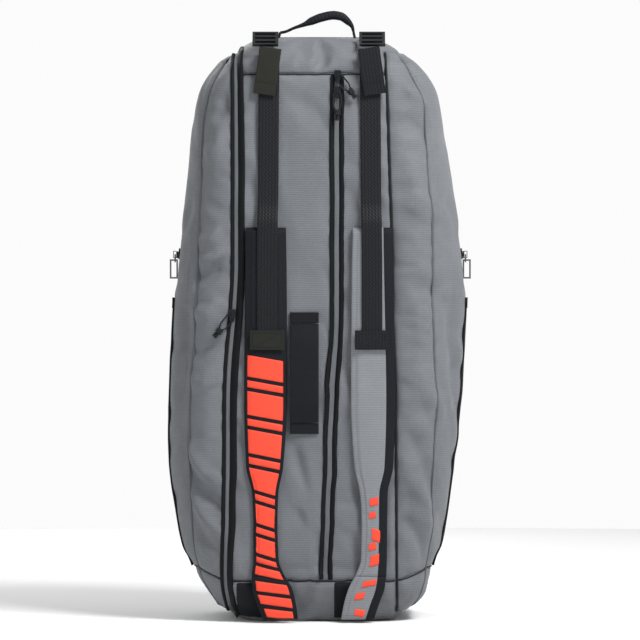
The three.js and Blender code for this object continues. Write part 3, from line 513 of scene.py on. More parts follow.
STRAP_HALF_WIDTH, STRAP_PUSH = 104, (-6, 0.3)  # the front behind the straps, and how far its cloth may move
TIGHT_SIDES = 0.72  # share of the folds that the sides lose
along_skin = rest_fine[:, 0] + np.sign(rest_fine[:, 0]) * np.clip(rest_fine[:, 1] + 158, 0, 150) * 0.72
facing = np.clip(-(rest_fine[:, 1] + 20) / 60, 0, 1)
push = np.zeros(count)
for x0, z0, x1, z1, height, half in FOLDS:
    run = np.array([x1 - x0, z1 - z0], float)
    at = np.stack([along_skin - x0, rest_fine[:, 2] - z0], 1)
    t = (at @ run) / (run @ run)
    bend = FOLD_BEND * np.sin(math.pi * np.clip(t, 0, 1))
    side = (at @ np.array([-run[1], run[0]])) / np.hypot(*run) - bend
    taper = np.clip(np.minimum(t + 0.12, 1.12 - t) / 0.4, 0, 1)
    push += FOLD_SCALE * height * facing * (taper * taper * (3 - 2 * taper)) * np.exp(-((side / half) ** 2))
# Long soft waves and smaller creases everywhere, none of them on a seam.
wave = np.array([noise.noise(Vector((p[0] * 0.011, p[1] * 0.013, p[2] * 0.007))) for p in rest_fine])
crease = np.array([noise.ridged_multi_fractal(Vector((p[0] * 0.012 + 7, p[1] * 0.012, p[2] * 0.009 + p[0] * 0.006)),
                                              0.9, 2.1, 4, 0.8, 1.6) for p in rest_fine])
fade = 1 - np.exp(-((away / 16) ** 2))
push += fade * (WAVE_HEIGHT * wave + CREASE_HEIGHT * (crease - crease.mean()))
# Puckers where the stitching gathers the cloth, and the valley of the seam itself.
gather = np.array([noise.noise(Vector((p[0] * 0.075, p[1] * 0.075, p[2] * 0.075 + 31))) for p in rest_fine])
push += PUCKER_HEIGHT * gather * np.exp(-(((away - 6) / 11) ** 2)) - SEAM_DEPTH * np.exp(-((away / 4.5) ** 2))
behind_straps = (np.abs(rest_fine[:, 0]) < STRAP_HALF_WIDTH) & (rest_fine[:, 1] < -130)
push = np.where(behind_straps, np.clip(push, *STRAP_PUSH), push)
# The sides are pulled tight, so that their outline runs smoothly.
push *= 1 - TIGHT_SIDES * np.clip(np.abs(normal[:, 0]), 0, 1) ** 2
place += normal * push[:, None]
by_handle = (np.abs(rest_fine[:, 0]) < 75) & (np.abs(rest_fine[:, 1] + 98) < 30)
place[:, 2] = np.clip(place[:, 2], 0.4, np.where(by_handle, 768.0, 772.0))
# The sides lie flat behind the pocket zips, so that the zips' pulls hang clear.
reach = smooth_rows(OUTLINE, rest_fine[:, 2])
free = 0.5 + 0.16 * np.clip(np.abs(rest_fine[:, 2] - 478) - 32, 0, 60)
beside = np.abs(rest_fine[:, 1]) < 125
place[:, 0] = np.where(beside, np.clip(place[:, 0], -reach[:, 0] - free, reach[:, 1] + free), place[:, 0])
place[:, 1] = np.clip(place[:, 1], -161, 166)
shell_mesh.vertices.foreach_set("co", (place * MM).astype(np.float32).ravel())
shell_mesh.update()
skin = BVHTree.FromObject(shell, bpy.context.evaluated_depsgraph_get())
shell_faces = [tuple(p.vertices) for p in shell_mesh.polygons]
panel_of = np.zeros(len(shell_mesh.polygons), np.int32)
shell_mesh.attributes["panel"].data.foreach_get("value", panel_of)


def mesh_piece(name, places, quads, materials, uv=None, smooth=True):
    """A piece from points in mm, its faces, and a place on the cloth for each point, in mm."""
    name = name + "_sewn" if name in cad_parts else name
    mesh = bpy.data.meshes.new(name)
    mesh.from_pydata((np.asarray(places, float) * MM).tolist(), [], [tuple(int(i) for i in q) for q in quads])
    for material in materials:
        mesh.materials.append(material)
    if uv is not None:
        layer = mesh.uv_layers.new(name="cloth")
        loops = np.zeros(len(mesh.loops), np.int32)
        mesh.loops.foreach_get("vertex_index", loops)
        layer.data.foreach_set("uv", (np.asarray(uv, float)[loops] * MM).astype(np.float32).ravel())
    mesh.polygons.foreach_set("use_smooth", [smooth] * len(mesh.polygons))
    mesh.update()
    piece = bpy.data.objects.new(name, mesh)
    scene.collection.objects.link(piece)
    return piece


def apply_all(piece):
    """Applies every modifier on a piece."""
    bpy.context.view_layer.objects.active = piece
    piece.select_set(True)
    for modifier in list(piece.modifiers):
        bpy.ops.object.modifier_apply(modifier=modifier.name)
    piece.select_set(False)


# Where a point of the cloth lies along and across its weave.
weave_u = np.where(np.abs(rest_fine[:, 1]) > 130, rest_fine[:, 0],
                   rest_fine[:, 0] + 0.8 * rest_fine[:, 1] * np.sign(rest_fine[:, 0]))
weave_v = rest_fine[:, 2] + np.where(rest_fine[:, 2] > 735, 1.0, 0.0) * 0.9 * (rest_fine[:, 1] + 158)
PANEL_THICKNESS = 3.4
panel_pieces = {}
for number, panel in enumerate(PANELS):
    chosen = [shell_faces[i] for i in np.flatnonzero(panel_of == number)]
    used = np.unique(np.array(chosen))
    index = np.full(count, -1)
    index[used] = np.arange(len(used))
    piece = mesh_piece(panel, place[used], [[index[i] for i in f] for f in chosen], [grey_cloth, lining_cloth],
                       np.stack([weave_u[used], weave_v[used]], 1))
    wall = piece.modifiers.new("wall", "SOLIDIFY")
    wall.thickness = PANEL_THICKNESS * MM
    wall.offset = -1
    wall.material_offset = 1
    wall.material_offset_rim = 1
    apply_all(piece)
    panel_pieces[panel] = piece
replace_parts(panel_pieces["left_outer_panel"], "left_outer_panel", "left_top_gusset")
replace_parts(panel_pieces["right_outer_panel"], "right_outer_panel", "right_top_gusset")
for panel in PANELS:
    if not panel.endswith("outer_panel"):
        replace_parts(panel_pieces[panel], panel)
for panel in ("centre_rear_panel", "top_panel", "base_panel"):
    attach(panel_pieces[panel], "root")
for panel in ("left_outer_panel", "left_front_gusset"):
    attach(panel_pieces[panel], "left_cover")
for panel in ("right_outer_panel", "right_rear_gusset"):
    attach(panel_pieces[panel], "right_cover")
for panel in ("left_rear_gusset", "left_base_gusset"):
    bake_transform(panel_pieces[panel])
for panel in ("right_front_gusset", "right_base_gusset"):
    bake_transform(panel_pieces[panel])
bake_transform(panel_pieces["centre_front_panel_left"])
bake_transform(panel_pieces["centre_front_panel_right"])

# ------------------------------------------------------------------ strips that follow the skin
def on_skin(point):
    """The nearest point of the finished skin to a point in mm, and the way out of it."""
    found, out, _, _ = skin.find_nearest(Vector(point) * MM)
    return found / MM, out


def evened(values, reach=3):
    """A line of values with each one set to the mean of its neighbours, and the ends kept."""
    values = np.asarray(values, float)
    wide = np.pad(values, reach, mode="edge")
    mean = np.convolve(wide, np.ones(2 * reach + 1) / (2 * reach + 1), "valid")
    mean[:2], mean[-2:] = values[:2], values[-2:]
    return mean


def on_face(x, z, facing=-1):
    """The skin's outermost point at an x and height on the front (or on the rear), in mm."""
    start = Vector((x, facing * 400, z))
    found = skin.ray_cast(start * MM, Vector((0, -facing, 0)))[0]
    return found / MM if found else on_skin((x, facing * 150, z))[0]


def seam_path(mark, low, high, step=4.0):
    """Points up one of the upright seams, with an even run over the skin's small creases."""
    heights = np.linspace(low, high, max(2, int((high - low) / step)))
    plain = [outline_point(z, ring(z, True)[mark]) for z in heights]
    if mark in (0, 1, 2, 5, 6):
        met = [on_face(p.x, p.z, -1 if mark < 3 else 1) for p in plain]
    else:
        met = [on_skin(p)[0] for p in plain]
    columns = [evened([p[axis] for p in met]) for axis in range(3)]
    return [Vector(p) for p in zip(*columns)]


def level_path(height_at, mark_a, mark_b, step=4.0):
    """Points along the skin between two upright seams. height_at gives the height for a share of the way."""
    first, last = (ring(height_at(t), True)[m] for t, m in ((0, mark_a), (1, mark_b)))
    shares = np.linspace(0, 1, max(2, int((last - first) / step)))
    made = []
    for t in shares:
        z = height_at(t)
        a, b = (ring(z, True)[m] for m in (mark_a, mark_b))
        made.append(on_skin(outline_point(z, a + (b - a) * t))[0])
    return made


SEARCH = 12.0  # how far off its path a strip looks for the skin, in mm


def lay_strip(name, path, profile, spans, materials, ends=True):
    """A strip laid along a path on the skin. profile is [mm to the right of the path, mm off the skin], and spans
    gives the material of each stretch between two points of the profile."""
    count = len(path)
    out = np.array([on_skin(p)[1] for p in path])
    out = np.stack([evened(out[:, axis], 5) for axis in range(3)], 1)
    points = np.array(path)
    along = np.gradient(points, axis=0)
    right = np.cross(along, out)
    right /= np.linalg.norm(right, axis=1)[:, None]
    out = np.cross(right, along)
    out /= np.linalg.norm(out, axis=1)[:, None]
    run = np.concatenate([[0], np.cumsum(np.linalg.norm(np.diff(points, axis=0), axis=1))])
    places = np.zeros((count, len(profile), 3))
    for j, (offset, height) in enumerate(profile):
        feet = points + right * offset
        met = [skin.ray_cast(Vector(foot + way * SEARCH) * MM, -Vector(way), 2 * SEARCH * MM)
               for foot, way in zip(feet, out)]
        rise = [SEARCH - hit[3] / MM if hit[0] else 0.0 for hit in met]
        rise = np.pad(np.clip(rise, -3, 9), 2, mode="edge")
        rise = evened(np.max([rise[k:k + count] for k in range(5)], axis=0), 4)
        lift = np.full(count, height)
        if ends:
            lift[[0, -1]] = min(height, 0) - 0.5
        places[:, j] = feet + out * (rise + lift)[:, None]
    n = len(profile)
    quads = [(i * n + j, i * n + j + 1, (i + 1) * n + j + 1, (i + 1) * n + j)
             for i in range(count - 1) for j in range(n - 1)]
    uv = [(profile[j][0], run[i]) for i in range(count) for j in range(n)]
    piece = mesh_piece(name, places.reshape(-1, 3), quads, materials, uv)
    piece.data.polygons.foreach_set("material_index", list(spans) * (count - 1))
    return piece


CORD = [(-1.9, -2.5), (-1.5, 0.7), (-0.8, 1.6), (0, 1.9), (0.8, 1.6), (1.5, 0.7), (1.9, -2.5)]
FINE_CORD = [(-1.1, -2.0), (-0.8, 0.6), (0, 1.1), (0.8, 0.6), (1.1, -2.0)]


def piping(name, path, body, profile=CORD, material=None):
    """A sewn cord or seam along a path on the skin."""
    piece = lay_strip(name, path, profile, [0] * (len(profile) - 1), [material or piping_cloth])
    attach(piece, body)
    return piece


def zip_half(name, path, stretches, node, body):
    """Half a zip: its stretches from left to right, each with its start, its end and its material."""
    profile, spans = [(stretches[0][0], -3.0)], []
    for start, end, cloth in stretches:
        height = 1.2 if cloth else 1.6
        spans += [0 if spans else cloth] + [cloth] * 3
        profile += [(start, height - 0.9), (start + 0.7, height), ((start + end) / 2, height + 0.2),
                    (end - 0.7, height)]
    profile += [(stretches[-1][1], height - 0.9), (stretches[-1][1] + 0.1, -3.0)]
    spans += [cloth, cloth]
    piece = lay_strip(name, path, profile, spans, [tape_cloth, flap_cloth, zip_teeth])
    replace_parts(piece, node)
    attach(piece, body)
    return piece


# Nylon coil of the zips, moulded and black.
zip_teeth, tree, shader = new_material("moulded_nylon_coil", "#1a1b1d", 0.42)
shader.inputs["IOR"].default_value = 1.53
teeth = add(tree, "ShaderNodeTexWave", {"Vector": add(tree, "ShaderNodeTexCoord").outputs["UV"],
                                        "Scale": WAVE / (2.0 * MM)}, wave_type="BANDS", bands_direction="Y")
tree.links.new(add(tree, "ShaderNodeBump", {"Height": teeth.outputs["Fac"], "Distance": 0.6 * MM}).outputs[0],
               shader.inputs["Normal"])

left_zip_path = seam_path(0, 13, 748)
# Stretches of a half zip: start and end across it in mm, and 0 for the black binding or 1 for the grey flap.
zip_half("left_zip_outer_band", left_zip_path, [(-7.6, -2.9, 0)], "left_zip_cover_half", "left_cover")
zip_half("left_zip_inner_band", left_zip_path, [(-2.7, 2.6, 1), (2.6, 10.4, 0)], "left_zip_centre_half", "root")
centre_zip_path = seam_path(1, 56, 716)
zip_half("centre_zip_band_left", centre_zip_path, [(-8.6, -3.5, 0)], "centre_zip_lip_left", "slit_lip_left")
zip_half("centre_zip_band_right", centre_zip_path, [(-3.3, 3.3, 1), (3.3, 9.0, 0)], "centre_zip_lip_right",
         "slit_lip_right")
rear_zip_path = seam_path(5, 90, 560)[::-1]
zip_half("rear_zip_outer_band", rear_zip_path, [(2.9, 7.6, 0)], "rear_zip_cover_half", "right_cover")
zip_half("rear_zip_inner_band", rear_zip_path, [(-8.4, -2.6, 0), (-2.6, 2.7, 1)], "rear_zip_centre_half", "root")

# Dark thread and binding of the seams.
seam_cloth = woven("seam_binding_dark", "#2a2c2f", "#17181b", 1.6, 1.6, 0.65, 0.03, 0.2)
piping("right_front_piping", seam_path(2, 13, 748), "root")
piping("left_rear_piping", seam_path(6, 13, 748), "root")
piping("right_rear_piping_low", seam_path(5, 13, 88), "root")
piping("right_rear_piping_high", seam_path(5, 562, 748), "root")
# The corner seams are turned in, and sewn with thread of the cloth's own colour; their strips are a darker grey than
# the panels, as painted shade of the seam's groove.
corner_seam_thread_and_shade = woven("seam_thread_and_painted_shade_grey", "#5d6064", "#45484b", 1.6, 1.6, 0.6, 0.05, 0.2)
for name, mark, body in (("right_front_corner_seam", 3, "right_cover"), ("right_rear_corner_seam", 4, "right_cover"),
                         ("left_rear_corner_seam", 7, "left_cover"), ("left_front_corner_seam", 8, "left_cover")):
    piping(name, seam_path(mark, 16, 742), body, FINE_CORD, corner_seam_thread_and_shade)


def base_climb(t):
    """Height of the base seam for a share of the way round a side."""
    return BASE_SEAM + SIDE_CLIMB * min(1, 6 * t, 6 * (1 - t))


for name, height_at, mark_a, mark_b, body in (
        ("top_seam_front", lambda t: TOP_SEAM, 0, 2, "root"), ("top_seam_rear", lambda t: TOP_SEAM, 5, 6, "root"),
        ("base_seam_front", lambda t: BASE_SEAM, 0, 2, "root"), ("base_seam_rear", lambda t: BASE_SEAM, 5, 6, "root"),
        ("right_base_seam", base_climb, 2, 5, "right_cover"), ("left_base_seam", base_climb, 6, 9, "left_cover")):
    piping(name, level_path(height_at, mark_a, mark_b), body, FINE_CORD, seam_cloth)

# ------------------------------------------------------------------ straps, webbing and handles
FRONT_FACE = -158.0
PAD_BACK = FRONT_FACE - 3.0
PAD_FRONT = PAD_BACK - 8.5
# Heights, and X of the left and right edges of each pad, in mm.
LEFT_PAD = np.array([(4, -72, -26), (25, -80, -29), (45, -86, -34), (60, -86.5, -43), (82, -84.5, -51.5),
                     (130, -84.5, -53), (168, -86, -52), (205, -94, -45.5), (290, -96.5, -40.5), (457, -95.5, -41),
                     (517, -95, -42)], float)
RIGHT_PAD = np.array([(4, 30, 73), (25, 34, 80), (45, 40, 87), (60, 48, 89), (82, 56, 90), (130, 57, 90.5),
                      (168, 55, 91), (205, 47.5, 98.5), (290, 43, 101), (457, 44, 98), (517, 45.5, 97)], float)
BAND, WIDE_BAND = 5.5, 9.0  # width of the bound edge, and of the right strap's outer one


def pad_edges(table, z):
    """X of a pad's left and right edge at a height, in mm."""
    left, right = smooth_rows(table, z)[0]
    return left, right


def pad_face(table, x, z):
    """Y of a pad's front at a point, in mm."""
    left, right = pad_edges(table, z)
    edge = min(x - left, right - x)
    crown = 1.6 * (1 - math.exp(-max(edge - BAND, 0) / 7)) - (0.9 if edge < BAND + 1.2 else 0)
    quilt = 0.5 * noise.noise(Vector((x * 0.05, 0, z * 0.035)))
    return PAD_FRONT + 1.9 - crown - quilt + 1.4 * math.exp(-edge / 1.6)


def make_pad(name, table, low, high, bands, materials):
    """A padded strap between two heights. bands gives the material of each stretch from the left edge."""
    heights = np.arange(low, high + 2, 4.0)
    heights[-1] = high
    shares = [0, 0, 0.3, 1, 1.15, 1.5, 2.4, 4, 6, 8, 9.6, 10.5, 10.85, 11, 11.7, 12, 12]
    places, uv, quads, which = [], [], [], []
    n = len(shares)
    round_low, round_high = low <= table[0, 0], high >= table[-1, 0]
    right_band = WIDE_BAND if bands[0] else BAND
    for z in heights:
        left, right = pad_edges(table, z)
        end = min(z - low if round_low else 99, high - z if round_high else 99)
        full = math.sqrt(max(0.04, 1 - max(0, 1 - end / 5) ** 2))
        for j, share in enumerate(shares):
            if share <= 1.15:
                x = left + BAND * share
            elif share >= 10.85:
                x = right - right_band * (12 - share)
            else:
                x = left + BAND * 1.15 + (right - left - 1.15 * (BAND + right_band)) * (share - 1.15) / 9.7
            y = PAD_BACK if j in (0, n - 1) else PAD_BACK + (pad_face(table, x, z) - PAD_BACK) * full
            places.append((x, y, z))
            uv.append((x, z))
    for i in range(len(heights) - 1):
        for j in range(n):
            k = (j + 1) % n
            quads.append((i * n + j, i * n + k, (i + 1) * n + k, (i + 1) * n + j))
            which.append(bands[0] if j < 4 else bands[2] if 11 <= j < n - 1 else 0 if j == n - 1 else bands[1])
    quads.append(tuple(range(n))[::-1])
    quads.append(tuple((len(heights) - 1) * n + j for j in range(n)))
    which += [0, 0]
    piece = mesh_piece(name, places, quads, materials, uv)
    piece.data.polygons.foreach_set("material_index", which)
    return piece


# Webbing: flat woven polypropylene, a herringbone of threads about 1.6 mm wide.
webbing_cloth, tree, shader = new_material("woven_polypropylene_webbing", "#1f2124", 0.5, sheen=0.03)
shader.inputs["Specular IOR Level"].default_value = CLOTH_GLOSS
uv_place = add(tree, "ShaderNodeTexCoord").outputs["UV"]
twill = add(tree, "ShaderNodeTexWave", {"Vector": uv_place, "Scale": WAVE / (2.4 * MM), "Distortion": 0.3},
            wave_type="BANDS", bands_direction="DIAGONAL")
cords = add(tree, "ShaderNodeTexWave", {"Vector": uv_place, "Scale": WAVE / (4.2 * MM)},
            wave_type="BANDS", bands_direction="X")
mixed = add(tree, "ShaderNodeMath", {0: cords.outputs["Fac"], 1: 0.8, 2: twill.outputs["Fac"]},
            operation="MULTIPLY_ADD")
span = add(tree, "ShaderNodeMapRange", {"Value": mixed.outputs[0], "From Max": 1.8})
tone = add(tree, "ShaderNodeMix", {0: span.outputs[0], 6: linear("#121316"), 7: linear("#1f2124")}, data_type="RGBA")
relief = add(tree, "ShaderNodeBump", {"Height": mixed.outputs[0], "Distance": 0.35 * MM, "Strength": 0.8})
tree.links.new(tone.outputs[2], shader.inputs["Base Color"])
tree.links.new(relief.outputs[0], shader.inputs["Normal"])
# The olive-black binding tape of the strap ends and cross bars: plain woven nylon.
olive_tape = woven("woven_nylon_tape_olive", "#2b2c26", "#191a17", 2.0, 1.4, 0.55, 0.04, 0.3)
# Grey face of the right strap: the body's ribbed cloth.
strap_cloth = woven("ribbed_polyester_strap", "#85888c", "#676a6e", 3.2, 1.4, 0.55, 0.1, 0.5)


def grained(tree, shader, scale, detail, relief=None, roughness=None):
    """A fine grain on Object coordinates, as a relief in mm or as a span of roughness, and its value for more."""
    place = add(tree, "ShaderNodeTexCoord").outputs["Object"]
    grain = add(tree, "ShaderNodeTexNoise", {"Vector": place, "Scale": scale, "Detail": detail}).outputs["Fac"]
    if relief:
        bump = add(tree, "ShaderNodeBump", {"Height": grain, "Distance": relief * MM})
        tree.links.new(bump.outputs[0], shader.inputs["Normal"])
    if roughness:
        gloss = add(tree, "ShaderNodeMapRange", {"Value": grain, "To Min": roughness[0], "To Max": roughness[1]})
        tree.links.new(gloss.outputs[0], shader.inputs["Roughness"])
    return grain


# Screen print on cloth: a thin layer of coral ink that takes the cloth's grain.
coral_ink, tree, shader = new_material("screen_print_coral", "#f04a34", 0.55)
shader.inputs["Specular IOR Level"].default_value = 0.2
grain = grained(tree, shader, 700.0, 2.0, relief=0.15)
ink = add(tree, "ShaderNodeMix", {0: grain, 6: linear("#d8402c"), 7: linear("#ee4e38")}, data_type="RGBA")
tree.links.new(ink.outputs[2], shader.inputs["Base Color"])


def sweep(name, path, sizes, material, across=(1, 0, 0), corner=0.45, sides=5):
    """A closed strap along a path: sizes is (width, thickness) in mm at each point, across its width's direction."""
    places, uv, quads = [], [], []
    across = Vector(across).normalized()
    angles = []
    for quarter in range(4):
        angles += [(quarter + (k + 0.5) / sides) * math.pi / 2 for k in range(sides)]
    n = len(angles)
    run = 0.0
    for i, point in enumerate(path):
        point = Vector(point)
        before, after = Vector(path[max(i - 1, 0)]), Vector(path[min(i + 1, len(path) - 1)])
        along = (after - before).normalized()
        wide = (across - along * across.dot(along)).normalized()
        out = wide.cross(along).normalized()
        run += (point - Vector(path[i - 1])).length if i else 0
        width, thick = sizes[i] if isinstance(sizes, list) else sizes
        for a in angles:
            cx = math.copysign(abs(math.cos(a)) ** corner, math.cos(a)) * width / 2
            cy = math.copysign(abs(math.sin(a)) ** corner, math.sin(a)) * thick / 2
            places.append(point + wide * cx + out * cy)
            uv.append((cx, run))
    for i in range(len(path) - 1):
        for j in range(n):
            k = (j + 1) % n
            quads.append((i * n + j, (i + 1) * n + j, (i + 1) * n + k, i * n + k))
    quads += [tuple(range(n)), tuple((len(path) - 1) * n + j for j in range(n))[::-1]]
    piece = mesh_piece(name, places, quads, [material], uv)
    bm = bmesh.new()
    bm.from_mesh(piece.data)
    bmesh.ops.recalc_face_normals(bm, faces=bm.faces)
    bm.to_mesh(piece.data)
    bm.free()
    bpy.context.view_layer.objects.active = piece
    piece.select_set(True)
    bpy.ops.object.shade_smooth_by_angle(angle=math.radians(40))
    piece.select_set(False)
    return piece


def through(points, step=4.0):
    """A smooth line through points, cut every few mm."""
    points = np.array(points, float)
    run = np.concatenate([[0], np.cumsum(np.linalg.norm(np.diff(points, axis=0), axis=1))])
    table = np.column_stack([run, points])
    return [Vector(p) for p in smooth_rows(table, np.linspace(0, run[-1], max(3, int(run[-1] / step))))]


WEB_WIDTH, WEB_THICK = 27.0, 1.8
SIDES = {
    "left": dict(x=-66.5, lean=2.5, table=LEFT_PAD, bands=[0, 0, 0], face=black_cloth, slot="black_fabric"),
    "right": dict(x=70.5, lean=-2.5, table=RIGHT_PAD, bands=[1, 1, 0], face=strap_cloth, slot="strap_fabric"),
}
for side, v in SIDES.items():
    x, table = v["x"], v["table"]
    materials = [black_cloth, v["face"]]
    pad_end = make_pad(f"{side}_pad_end", table, 4, 60, v["bands"], materials)
    shoulder_pad = make_pad(f"{side}_shoulder_pad", table, 60, 517, v["bands"], materials)
    pad_end, shoulder_pad
    pad_end, shoulder_pad
    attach(pad_end, "root")
    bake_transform(shoulder_pad)
    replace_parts(pad_end, f"{side}_pad_end")
    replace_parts(shoulder_pad, f"{side}_shoulder_pad")

    web_y = PAD_FRONT - 0.9
    lean_x, end_cloth = v["lean"], olive_tape if side == "left" else webbing_cloth
    over_pad = through([(x, web_y, 366), (x, web_y, 440), (x + lean_x * 0.2, web_y, 521),
                        (x + lean_x * 0.4, -163.6, 548), (x + lean_x * 0.6, -162.4, 600)])
    webbing = sweep(f"{side}_strap_webbing", over_pad, (WEB_WIDTH, WEB_THICK), webbing_cloth)
    bar = sweep(f"{side}_cross_bar", [(x, web_y - 1.7, z) for z in (357, 365, 374, 382.5)], (45, 1.6), end_cloth)
    to_lock = through([(x + lean_x * 0.6, -162.4, 600), (x + lean_x * 0.8, -162.2, 680), (x + lean_x, -161.6, 732),
                       (x + lean_x, -158.6, 742), (x + lean_x, -152.5, 751)])
    upper = sweep(f"{side}_upper_webbing", to_lock, (WEB_WIDTH, WEB_THICK), webbing_cloth)
    for piece in (webbing, bar):
        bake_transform(piece)
    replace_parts(webbing, f"{side}_strap_webbing")
    upper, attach(upper, "root"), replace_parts(upper, f"{side}_upper_webbing")
    tab = sweep(f"{side}_anchor_tab", through([(x, -133, 772.5), (x, -120, 769.5), (x, -104, 768.8), (x, -86, 768.2)]),
                (WEB_WIDTH, 1.8), webbing_cloth)
    tab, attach(tab, "root"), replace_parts(tab, f"{side}_anchor_tab")
    # The free tail has a folded and stitched hem.
    sign = -1 if side == "left" else 1
    tail_x = x + lean_x - sign * 2
    lean = math.tan(math.radians(8)) * sign
    tail_path = [(tail_x + lean * d, -165.6 - 1.2 * math.sin(d / 62 * math.pi), 752 - d)
                 for d in np.linspace(0, 61, 18)]
    tail = sweep(f"{side}_webbing_tail", tail_path, (WEB_WIDTH + 2, WEB_THICK), end_cloth)
    hem = sweep(f"{side}_tail_hem", [(px, py - 1.5, pz) for px, py, pz in tail_path[-5:]], (WEB_WIDTH + 1.5, 1.4),
                end_cloth)
    for piece in (tail, hem):
        piece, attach(piece, f"{side}_tail")
    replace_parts(tail, f"{side}_webbing_tail")
    # Box stitching on the cross bar.
    thread = [(x - 19, 360), (x + 19, 360), (x + 19, 379.5), (x - 19, 379.5), (x - 19, 360), (x + 19, 379.5)]
    for number, ((ax, az), (bx, bz)) in enumerate(zip(thread, thread[1:])):
        stitch = [(ax + (bx - ax) * t, web_y - 2.6, az + (bz - az) * t) for t in (0, 0.5, 1)]
        line = sweep(f"{side}_bar_stitch_{number}", stitch, (0.9, 0.7), seam_cloth,
                     across=(0, 0, 1) if az == bz else (1, 0, 0))
        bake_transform(line)


# Generic print, block by block: height of its low corner, its own height, where it starts and ends as shares of
# the strap's face from left to right, and its slant.
LEFT_PRINT = [(low, height, 0.07, 0.91, -7) for low, height in (
    (322, 28), (308, 9), (272, 31), (258, 9), (222, 31), (208, 9), (174, 29), (161, 8), (131, 25), (118, 8),
    (92, 21), (80, 7), (64, 11))]
LEFT_FOOT_PRINT = [(42, 13, 0.10, 0.90, -5), (25, 12, 0.10, 0.90, -5), (8, 11, 0.14, 0.88, -4)]
RIGHT_PRINT = [(150, 10, 0.34, 0.66, 6), (134, 8, 0.30, 0.56, 6), (112, 16, 0.40, 0.74, -8), (92, 10, 0.30, 0.58, 6),
               (70, 14, 0.36, 0.70, 8)]
RIGHT_FOOT_PRINT = [(44, 8, 0.34, 0.72, 6), (28, 9, 0.26, 0.50, 6), (12, 9, 0.36, 0.66, -6)]
PRINT_EDGE, INK_THICKNESS, INK_ROW = 4.0, 0.5, 2  # bare cloth beside the print, the ink, and its rows, in mm
PRINT_COLUMNS = 27


def make_print(name, table, blocks):
    """Slanted blocks of ink that follow a pad's face."""
    places, quads = [], []
    right_edge = PRINT_EDGE + (BAND if table is RIGHT_PAD else 0)
    for low, height, start, end, slant in blocks:
        rows, columns = max(3, int(height / INK_ROW)), PRINT_COLUMNS
        for i in range(rows):
            for j in range(columns):
                u = start + (end - start) * j / (columns - 1)
                z = low + height * i / (rows - 1) + slant * (u - 0.1) / 0.7
                z = min(max(z, table[0, 0] + 2), table[-1, 0])
                left, right = pad_edges(table, z)
                px = min(max(left + (right - left) * u, left + PRINT_EDGE), right - right_edge)
                places.append((px, pad_face(table, px, z) - 0.6, z))
        first = len(places) - rows * columns
        for i in range(rows - 1):
            for j in range(columns - 1):
                a = first + i * columns + j
                quads.append((a, a + 1, a + columns + 1, a + columns))
    piece = mesh_piece(name, places, quads, [coral_ink])
    ink_layer = piece.modifiers.new("ink", "SOLIDIFY")
    ink_layer.thickness, ink_layer.offset = INK_THICKNESS * MM, -1
    apply_all(piece)
    return piece


for side, table, blocks, foot_blocks in (("left", LEFT_PAD, LEFT_PRINT, LEFT_FOOT_PRINT),
                                         ("right", RIGHT_PAD, RIGHT_PRINT, RIGHT_FOOT_PRINT)):
    x = SIDES[side]["x"]
    ink = make_print(f"{side}_strap_print", table, blocks)
    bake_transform(ink)
    ink = make_print(f"{side}_strap_foot_print", table, foot_blocks)
    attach(ink, "root")

# Top handle: thin webbing legs, and a padded grip, as x, z, width and thickness.
HANDLE_Y = -98
HANDLE = [(-50, 776, 18, 3.4), (-44, 777, 18, 3.4), (-32, 782, 18, 3.6), (-18, 787, 18, 6), (-8, 791.5, 19, 10.5),
          (6, 796.5, 20, 11.5), (20, 799, 20, 11.5), (30, 797.5, 20, 11), (39, 791, 19, 9), (45, 784, 18, 5),
          (47, 777, 18, 3.4)]
handle_rows = np.array(HANDLE, float)
handle_run = np.concatenate([[0], np.cumsum(np.hypot(np.diff(handle_rows[:, 0]), np.diff(handle_rows[:, 1])))])
handle_table = np.column_stack([handle_run, handle_rows])
handle_fine = smooth_rows(handle_table, np.linspace(0, handle_run[-1], 64))
handle = sweep("top_handle", [(p[0], HANDLE_Y, p[1]) for p in handle_fine], [(p[2], p[3]) for p in handle_fine],
               webbing_cloth, across=(0, 1, 0), corner=0.6)
handle, handle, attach(handle, "top_handle"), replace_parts(handle, "top_handle")

for number, leg in enumerate(([(-57, 752), (-54, 762), (-50, 776)], [(52, 750), (50, 762), (47, 776)])):
    stub = sweep(f"top_handle_leg_{number}", through([(x, HANDLE_Y, z) for x, z in leg]), HANDLE[0][2:], webbing_cloth,
                 across=(0, 1, 0))
    stub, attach(stub, "root")

# Black patches that bind the straps' roots to the base.
for name, x0, x1, top in (("left_base_patch", -109, -70, 53), ("right_base_patch", 20, 47, 54)):
    rows, columns, places, quads = 14, 10, [], []
    xs = np.linspace(x0, x1, columns)
    for i, z in enumerate(np.linspace(3, top, rows)):
        for x in xs:
            places.append(on_face(x, z) + Vector((0, -1.6 if 0 < i < rows - 1 and x0 < x < x1 else 1.0, 0)))
    for i in range(rows - 1):
        quads += [(i * columns + j, i * columns + j + 1, (i + 1) * columns + j + 1, (i + 1) * columns + j)
                  for j in range(columns - 1)]
    patch = mesh_piece(name, places, quads, [black_cloth], [(p[0], p[2]) for p in places])
    patch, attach(patch, "root")

